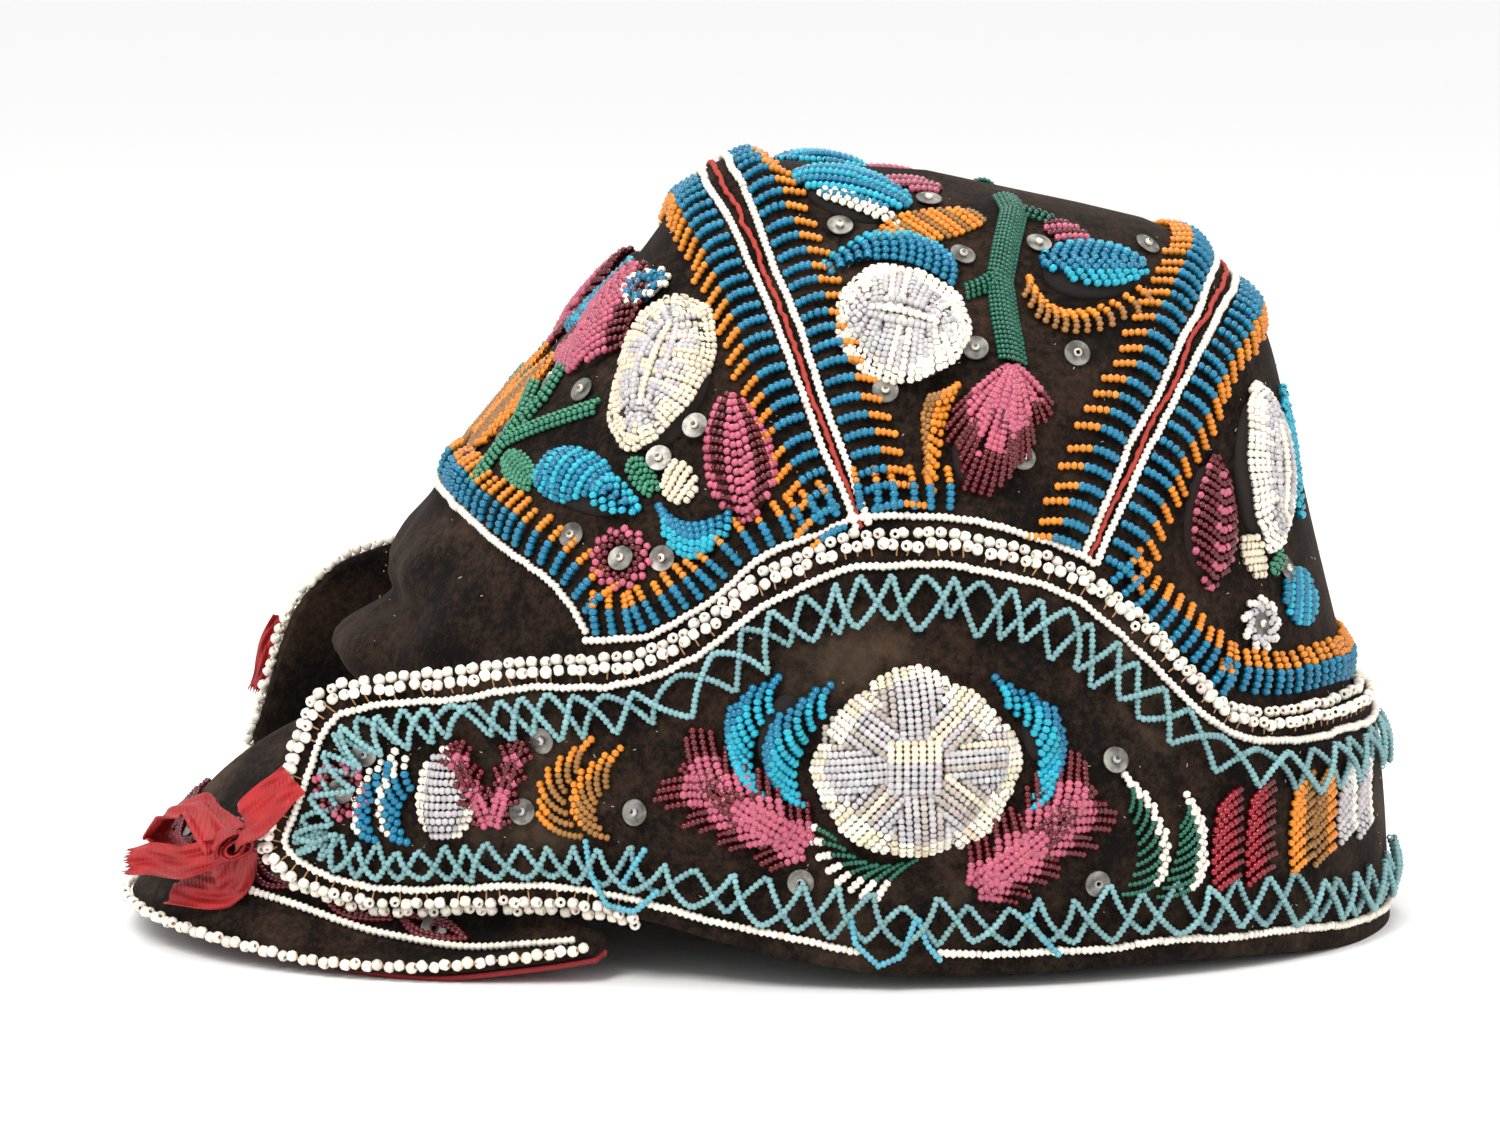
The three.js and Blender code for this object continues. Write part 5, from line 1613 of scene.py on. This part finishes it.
LOOSE_STRINGS = [
    [(588, 837), (594, 872), (610, 903), (638, 910), (662, 888)],
    [(649, 846), (636, 866), (624, 886)],
    [(850, 912), (855, 942), (878, 964), (901, 954), (916, 914)],
    [(917, 916), (925, 942), (940, 960)],
    [(1022, 912), (1039, 936), (1057, 954)],
]
for pixels in LOOSE_STRINGS:
    path, normals = cloth_path(BAND, pixels)
    string_beads("cuff", path + normals * 2.2, [("loose", 1)], sides="left")
for x, y in [(636, 812), (801, 882), (1114, 760), (1096, 883), (543, 740), (523, 811), (365, 753)]:
    sequin(BAND, x, y, "lavender")


# Visor beadwork
def on_visor(turn_round, out, lift):
    """Points raised by lift over the visor's upper face."""
    points = visor_point(turn_round, out)
    return points + visor_normal(turn_round, out) * np.asarray(lift)[..., None]


def visor_string(turn_round, out, kind):
    """One string along a line of the visor."""
    path = on_visor(turn_round, out, np.full(turn_round.shape, 0.8))
    string_beads("visor", path, [(kind, 1)], sides="middle")


LINE_ENDS = 84
ALMOND_INSET = 0.13


def line_out(turn_round):
    """How far out the visor's white string runs: near the rim in front, further in at the ends."""
    return 0.85 - 0.36 * (np.abs(turn_round) / LINE_ENDS) ** 2


stations = np.linspace(-LINE_ENDS, LINE_ENDS, 300)
visor_string(stations, line_out(stations), "white")
# Dark almond shapes inside it, each of two bowed pairs of strings about a sequin
for middle in np.arange(-60, 61, 12.0):
    sway = np.linspace(-1, 1, 40)
    for bow in (-1.0, 1.0):
        for extra in (0.0, 0.035):
            reach = line_out(middle) - ALMOND_INSET + bow * (0.055 + extra) * np.cos(sway * np.pi / 2)
            visor_string(middle + sway * 5.6 + bow * 0.4, reach, "maroon")
    place = line_out(middle) - ALMOND_INSET
    normal = visor_normal(middle, place)
    spot = visor_point(middle, place) + normal * 0.7
    SEQUINS.append((spot, unit(normal + rng.normal(0, 0.1, 3)), "maroon", "middle"))

# Pairs of large beads along the visor's rim
rim_turn = np.linspace(-87, 87, 600)
rim = visor_point(rim_turn, np.ones(600))
ahead = -np.cos(np.radians(rim_turn)) / VISOR_REACH
sideways = np.sin(np.radians(rim_turn)) / VISOR_HALF_WIDTH
rim = rim + unit(np.stack([ahead, sideways, 0 * rim_turn], -1)) * 1.5
rim[:, 2] += 0.2
rim_run = run_along(rim)
pair_at = np.arange(1.5, rim_run[-1] - 1.5, 4.7)
rim_thread = even(rim, 1.2)
for shift, rise in ((-1.05, 0.25), (1.05, -0.15)):
    at = pair_at + shift
    places = sampled(at, rim_run, rim)
    places[:, 2] += rise
    ahead = unit(sampled(at + 0.5, rim_run, rim) - places)
    axes = unit(ahead + rng.normal(0, 0.3, places.shape))
    keep(("middle", "rim", "large"), places, axes, 2.35, 2.0, BEADS["large"]["colour"])


# Meshes of the beads
def square_to(axes):
    """Two directions square to each axis and to one another."""
    helper = np.where(np.abs(axes[:, 2:]) > 0.8, np.array([1.0, 0.0, 0.0]), np.array([0.0, 0.0, 1.0]))
    first = unit(np.cross(axes, helper))
    return first, np.cross(axes, first)


def circle(sides):
    """The angles of the corners of a round section."""
    return np.arange(sides) * 2 * np.pi / sides


def bead_mesh(name, entries, profile, sides, material):
    """Many beads as one mesh, each turned from a profile of (height, radius) shares."""
    points, axes, wide, long, colours = map(np.concatenate, zip(*entries))
    first, second = square_to(axes)
    turn = circle(sides)[None, :, None]
    ring = first[:, None, :] * np.cos(turn) + second[:, None, :] * np.sin(turn)
    vertices = []
    for height, radius in profile:
        middle = points + axes * (height * long)[:, None]
        vertices.append(middle[:, None, :] + ring * (radius * wide / 2)[:, None, None])
    vertices = np.stack(vertices, 1)
    rings = len(profile)
    local = grid_faces(rings, sides, closed=True)
    faces = (local[None] + (np.arange(len(points)) * rings * sides)[:, None, None]).reshape(-1, 4)
    piece = make_mesh(name, vertices.reshape(-1, 3), faces, [material])
    tone = np.repeat(np.clip(colours, 0, 1), rings * sides, axis=0)
    tone = np.concatenate([tone, np.ones((len(tone), 1))], 1).astype(np.float32)
    layer = piece.data.color_attributes.new("bead_colour", "FLOAT_COLOR", "POINT")
    layer.data.foreach_set("color", tone.ravel())
    return piece


SEED = [(-0.5, 0.62), (0.0, 1.08), (0.5, 0.62)]
ROUND = [
    (-0.1, 0.34), (-0.42, 0.36), (-0.5, 0.62), (-0.25, 0.97),
    (0.25, 0.97), (0.5, 0.62), (0.42, 0.36), (0.1, 0.34),
]
SEED_SIDES = 6
ROUND_SIDES = 8
# The glass and the slot of each family, and the nodes that the large beads stand in for
FAMILY = {
    "white": (CHALK, "white_beads"),
    "large": (CHALK, "white_beads"),
    "lavender": (GLASS, None),
    "blue": (GLASS, "blue_beads"),
    "turquoise": (CHALK, None),
    "orange": (GLASS, None),
    "pink": (GLASS, "pink_beads"),
    "green": (GLASS, None),
}
REPLACED = {("edge", "large"): "band_edging", ("rim", "large"): "visor_edging"}

for (side, area, family), entries in BAGS.items():
    profile, sides = (ROUND, ROUND_SIDES) if family == "large" else (SEED, SEED_SIDES)
    piece = bead_mesh(f"{side}_{area}_{family}_beads", entries, profile, sides, FAMILY[family][0])
    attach(piece, "root")
    if (area, family) in REPLACED:
        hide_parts(REPLACED[(area, family)])


# Sequins with a bead in the middle
def sequin_mesh(name, spots):
    """Many cupped discs with a hole as one mesh."""
    sides = 20
    turn = circle(sides)[:, None]
    profile = [(0.55, 0.0), (0.55, 0.28), (2.65, 0.42), (2.75, 0.24), (2.65, 0.06), (0.55, 0.0)]
    points = []
    faces = []
    for number, (point, normal, _, _) in enumerate(spots):
        first = unit(np.cross(normal, np.array([0.3, 0.2, 0.9])))
        second = np.cross(normal, first)
        for radius, height in profile:
            ring = first * np.cos(turn) + second * np.sin(turn)
            points.append(point + ring * radius + normal * height)
        faces.append(grid_faces(len(profile), sides, closed=True) + number * len(profile) * sides)
    return make_mesh(name, np.concatenate(points), np.concatenate(faces), [SEQUIN], smooth=False)


both = [s for s in SEQUINS if s[3] == "both"]
SEQUIN_GROUPS = {
    "left_sequins": both,
    "right_sequins": [(p * FLIP, n * FLIP, m, s) for p, n, m, s in both],
    "visor_sequins": [s for s in SEQUINS if s[3] == "middle"],
}
for name, spots in SEQUIN_GROUPS.items():
    ridden(sequin_mesh(name, spots))
    centres = np.array([p + n * 0.75 for p, n, _, _ in spots])
    axes = np.array([n for _, n, _, _ in spots]) + rng.normal(0, 0.25, (len(spots), 3))
    tones = np.array([BEADS[m]["colour"] for _, _, m, _ in spots])
    wide, long = np.full(len(spots), 1.7), np.full(len(spots), 1.1)
    ridden(bead_mesh(f"{name}_middles", [(centres, unit(axes), wide, long, tones)], SEED, 8, CHALK))

# Padding under the raised beadwork, in the place of the plain mounds
PADDING = {
    "white": ("pad_brown", (30, 22, 18), "white_beads"),
    "pink": ("pad_dark_red", (26, 13, 12), "pink_beads"),
    "blue": ("pad_dark_blue", (18, 12, 11), "blue_beads"),
}
PAD_MATERIALS = {}
for kind, (material_name, colour, _) in PADDING.items():
    parts = new_material(material_name, linear(*colour), 0.95)
    fine_bump(parts, 900, 3, 0.6, 0.0004)
    PAD_MATERIALS[kind] = parts[0]
PAD_SIDES = 36
PAD_RINGS = np.concatenate([[1.0], np.sin(np.linspace(0.02, np.pi / 2, 9))[::-1]])
PAD_SHARE = 0.9
for name, (centre, wide_axis, tall_axis, normal, wide, tall, puff) in PADS.items():
    surface = CROWN if name in CROWN_MOTIFS else BAND
    points = []
    for k, share in enumerate(PAD_RINGS):
        height = 0.05 if k == 0 else PAD_BASE + puff * PAD_RISE * math.sqrt(max(1 - share * share, 0))
        for angle in circle(PAD_SIDES):
            away = wide_axis * wide * math.cos(angle) + tall_axis * tall * math.sin(angle)
            hit, out = nearest(surface, centre + away * share * PAD_SHARE, normal)
            points.append(hit + out * height)
    points = np.array(points)
    faces = grid_faces(len(PAD_RINGS), PAD_SIDES, closed=True)
    colour = MOTIFS[name]["colour"]
    slot_name = PADDING[colour][2]
    right_pad = make_mesh(f"right_pad_{name}", points, faces[:, ::-1], [PAD_MATERIALS[colour]])
    left_pad = make_mesh(f"left_pad_{name}", points * FLIP, faces, [PAD_MATERIALS[colour]])
    ridden(right_pad, f"right_{name}", slot=slot_name)
    ridden(left_pad, f"left_{name}", slot=slot_name)


# Cords, threads and ribbon
def tube_mesh(name, path, radius, sides, material, twist=0.0):
    """A round or twisted cord along a path."""
    tangent = unit(np.gradient(path, axis=0))
    across = np.array([0.0, 0.0, 1.0])
    rings = []
    turn = circle(sides)[:, None]
    for i, (p, t) in enumerate(zip(path, tangent)):
        across = unit(across - t * (across @ t))
        upright = np.cross(t, across)
        strand = radius * (1 + twist * np.cos(2 * turn + i * 0.9))
        rings.append(p + across * (strand * np.cos(turn)) + upright * (strand * np.sin(turn)))
    return make_mesh(name, np.concatenate(rings), grid_faces(len(path), sides, closed=True), [material])


for name, seam in (("front_seam_cord", front_seam), ("back_seam_cord", back_seam)):
    path, normals = laid_on(CROWN, seam)
    wave = soft_noise(len(path), 17, 4)
    _, side = beside(path, normals)
    path = path + normals * 0.45 + side * wave[:, None] * 0.3
    path = np.concatenate([path, (path * FLIP)[::-1]])
    ridden(tube_mesh(f"twisted_{name}", path, 0.5, 8, PIPING, 0.22), name, slot="piping")
ridden(tube_mesh("rim_thread", rim_thread, 0.28, 5, THREAD))


def sticks(name, starts, ends, radius, material):
    """Many short straight fibres as one mesh."""
    along = unit(ends - starts)
    first, second = square_to(along)
    corners = [c * radius for c in (first, second, -first, -second)]
    points = np.stack([p + c for p in (starts, ends) for c in corners], 1)
    local = np.array([[0, 1, 5, 4], [1, 2, 6, 5], [2, 3, 7, 6], [3, 0, 4, 7], [3, 2, 1, 0], [4, 5, 6, 7]])
    faces = (local[None] + (np.arange(len(starts)) * 8)[:, None, None]).reshape(-1, 4)
    return ridden(make_mesh(name, points.reshape(-1, 3), faces, [material], smooth=False))


# Stitches that hold the large beads, and lint on the velvet
starts = []
ends = []
for side in (-1, 1):
    above = edge_part(side, 0.4)
    below = edge_part(side, 2.6)
    index = np.arange(3, min(len(above), len(below)) - 3, 5)
    index = index[rng.uniform(size=len(index)) < 0.75]
    starts.append(on_cuff(side, above[index, 0], above[index, 1], 0.9))
    ends.append(on_cuff(side, below[index, 0] + rng.normal(0, 0.4, len(index)), below[index, 1], 0.1))
sticks("edge_stitches", np.concatenate(starts), np.concatenate(ends), 0.16, THREAD)

lint_parts = new_material("lint", linear(196, 184, 168), 0.9)
fine_bump(lint_parts, 800, 3, 0.3, 0.0001)
LINT_COUNT = 420
lint_up = rng.uniform(0.3, 0.97, LINT_COUNT)
lint_turn = rng.uniform(0, 360, LINT_COUNT)
on_crown = crown_point(lint_up, lint_turn) + crown_normal(lint_up, lint_turn) * 0.35
lint_at = rng.uniform(-1.95, 1.95, LINT_COUNT)
share = rng.uniform(0.1, 0.9, LINT_COUNT)
lint_height = band_edge(lint_at, "low") * (1 - share) + band_edge(lint_at, "top") * share
spots = np.concatenate([on_crown, band_point(lint_at, lint_height, BAND_WALL + 0.3)])
outer = unit(spots * np.array([0.4, 1.0, 0.0]))
way = np.cross(outer, unit(rng.normal(0, 1, spots.shape)))
size = rng.uniform(0.12, 0.5, (len(spots), 1)) ** 1.2
sticks("lint", spots - way * size, spots + way * size, 0.07, lint_parts[0])


RIBBON_THICK = 0.35


def ribbon_strip(name, centre, across, width, length, crumple, phase, frayed=False):
    """A strip of thin ribbon along a centre line, with creases along its run and a frayed end if asked."""
    s = np.linspace(0, 1, len(centre))
    count = max(int(length / 0.55), 24)
    at = np.linspace(0, 1, count)
    line = sampled(at, s, centre)
    for _ in range(6):
        line[1:-1] = line[1:-1] * 0.5 + (line[:-2] + line[2:]) * 0.25
    way = sampled(at, s, across)
    tangent = unit(np.gradient(line, axis=0))
    way = unit(way - tangent * np.sum(way * tangent, -1, keepdims=True))
    normal = np.cross(way, tangent)
    columns = 26
    share = np.linspace(-0.5, 0.5, columns)
    crease = np.sin(share[None, :] * 11 + at[:, None] * 5 + phase) * crumple
    crease = crease + np.sin(share[None, :] * 23 - at[:, None] * 13 + phase * 2) * crumple * 0.4
    squeeze = 1 - 0.1 * np.sin(at * np.pi * 2 + phase)
    sideways = share[None, :] * width * squeeze[:, None]
    top = line[:, None, :] + way[:, None, :] * sideways[..., None] + normal[:, None, :] * crease[..., None]
    if frayed:
        tooth = np.abs(np.sin(share * 31 + 1)) * 2.4 * np.clip((at[:, None] - 0.86) / 0.14, 0, 1)
        top = top - tangent[:, None, :] * tooth[..., None]
    low = top - normal[:, None, :] * RIBBON_THICK
    return shell(name, top, low, grid_faces(count, columns), RIBBON)


RIBBON_COLUMNS = "ahead inward rise wideAhead wideIn wideUp"
RIBBON_RUNS = {
    "ribbon_loop": table(
        RIBBON_COLUMNS,
        [
            (0.2, 0.1, 0.1, -0.5, 0.2, 0.67),
            (0.8, 0.95, 0.75, -0.2, 0.9, 0.3),
            (1.4, 1.8, 0.5, -0.5, 0.8, 0.1),
            (1.75, 2.2, -0.1, -0.6, 0.8, 0),
            (1.3, 1.9, -0.5, -0.5, 0.8, 0.1),
            (0.6, 0.9, -0.3, -0.4, 0.7, 0.4),
        ],
    ),
    "ribbon_tail": table(
        RIBBON_COLUMNS,
        [
            (0.2, 0.0, -0.1, 0.65, 0.27, 1),
            (1.2, 0.55, -0.5, 0, 0.3, 1),
            (1.9, 1.2, -0.5, 0, 0.2, 1),
            (2.55, 1.7, -0.7, 0, 0.5, 0.8),
        ],
    ),
    "ribbon_fold": table(
        RIBBON_COLUMNS,
        [
            (-0.05, 0.1, 0.0, 1, 0.4, 0.48),
            (0.1, 0.45, -0.85, 0.9, 0.3, 0.3),
            (0.3, 0.75, -1.2, 0.8, 0.5, 0.5),
            (1.35, 1.6, -1.25, -0.3, 0.7, 0.6),
        ],
    ),
}
KNOT = np.array((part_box("ribbon_knot")[0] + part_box("ribbon_knot")[1]) / 2) / MM
RIBBON_SHOWN = {"ribbon_loop": 10.0, "ribbon_tail": 6.4, "ribbon_fold": 9.0}


def declare_ribbon(piece, node):
    """A ribbon piece on the one body, in the place of its node."""
    ridden(piece, node, slot="ribbon")


for number, (node, rows) in enumerate(RIBBON_RUNS.items()):
    centre = KNOT + np.stack([-rows["ahead"], rows["inward"], rows["rise"]], -1) * RIBBON_WIDTH
    across = np.stack([-rows["wideAhead"], rows["wideIn"], rows["wideUp"]], -1)
    length = float(run_along(centre)[-1])
    is_tail = node == "ribbon_tail"
    strip = (f"silk_{node}", centre, across, RIBBON_SHOWN[node], length, 0.55, number * 1.7)
    piece = ribbon_strip(*strip, frayed=is_tail)
    declare_ribbon(piece, node)

STRAP_OFF = BAND_WALL + 2.8
strap_places = np.array(
    [
        band_point(-1.885, 0.245 * CROWN_HEIGHT, STRAP_OFF),
        band_point(-1.94, 0.225 * CROWN_HEIGHT, STRAP_OFF + 0.8),
        band_point(-2.04, 0.185 * CROWN_HEIGHT, STRAP_OFF + 1.0),
        KNOT + np.array([1.5, -0.5, 1.5]),
    ]
)
strap_across = np.array([[0.35, 0, 1.0]] * 4)
strap_length = float(run_along(strap_places)[-1])
strap = ribbon_strip("silk_ribbon_strap", strap_places, strap_across, 8.0, strap_length, 0.45, 0.9)
declare_ribbon(strap, "ribbon_strap")

SCRAP_AT = (1.83, 1.87, 1.91, 1.95)
scrap_places = np.array(
    [band_point(at, band_edge(at, "top"), BAND_WALL + 3.2 + i % 2) for i, at in enumerate(SCRAP_AT)]
)
scrap_across = np.array([[-1.0, 0.3, 0.6]] * 4)
scrap_length = float(run_along(scrap_places)[-1])
scrap_strip = ("silk_ribbon_scrap", scrap_places, scrap_across, 5.0, scrap_length, 0.6, 2.2)
scrap = ribbon_strip(*scrap_strip, frayed=True)
declare_ribbon(scrap, "ribbon_scrap")

# The knot: ribbon wound and crushed into a small rose
knot_turn = np.linspace(0, 2 * np.pi * 2.6, 60)
knot_radius = np.interp(knot_turn, [0, knot_turn[-1]], [1.2, 4.0])
winding = [
    knot_radius * np.cos(knot_turn),
    -0.35 * knot_radius * np.sin(knot_turn * 0.5) - 0.4,
    knot_radius * np.sin(knot_turn) * 0.85,
]
knot_centre = KNOT + np.stack(winding, -1)
knot_across = np.stack([0.25 * np.sin(knot_turn), -np.ones(60), 0.2 * np.cos(knot_turn)], -1)
knot_length = float(run_along(knot_centre)[-1])
knot = ribbon_strip("silk_ribbon_knot", knot_centre, knot_across, 5.6, knot_length, 0.3, 0.4)
declare_ribbon(knot, "ribbon_knot")

# Floor, light and camera
FAR = 12000
corners = [(-FAR, -FAR, 0), (FAR, -FAR, 0), (FAR, FAR, 0), (-FAR, FAR, 0)]
floor = make_mesh("floor", corners, [[0, 1, 2, 3]], [FLOOR], smooth=False)

world = bpy.data.worlds.new("studio")
bpy.context.scene.world = world
world.use_nodes = True
world.node_tree.nodes["Background"].inputs["Color"].default_value = (1.0, 1.0, 1.0, 1)
world.node_tree.nodes["Background"].inputs["Strength"].default_value = 1.0


def area_light(name, place, size, power):
    """A square soft light that looks at the cap."""
    light = bpy.data.lights.new(name, "AREA")
    light.size = size
    light.energy = power
    light.color = (1.0, 0.98, 0.95)
    lamp = bpy.data.objects.new(name, light)
    lamp.location = place
    aim = Vector((0, 0, 0.07)) - Vector(place)
    lamp.rotation_euler = aim.to_track_quat("-Z", "Y").to_euler()
    bpy.context.collection.objects.link(lamp)


area_light("key", (-0.5, -0.7, 0.95), 0.45, 10)
area_light("fill", (0.8, -0.7, 0.6), 0.7, 3)
area_light("top", (0.1, 0.2, 1.1), 0.6, 5)

camera_data = bpy.data.cameras.new("camera")
SENSOR_WIDTH = 36
camera_data.sensor_width = SENSOR_WIDTH
camera_data.lens = FOCAL_PIXELS / PICTURE_WIDTH * SENSOR_WIDTH
camera_data.clip_start = 0.05
camera_data.clip_end = 20
camera = bpy.data.objects.new("camera", camera_data)
camera.location = Vector(EYE * MM)
camera.rotation_euler = Vector(-toward).to_track_quat("-Z", "Y").to_euler()
bpy.context.collection.objects.link(camera)
bpy.context.scene.camera = camera
bpy.context.scene.view_settings.view_transform = "Standard"
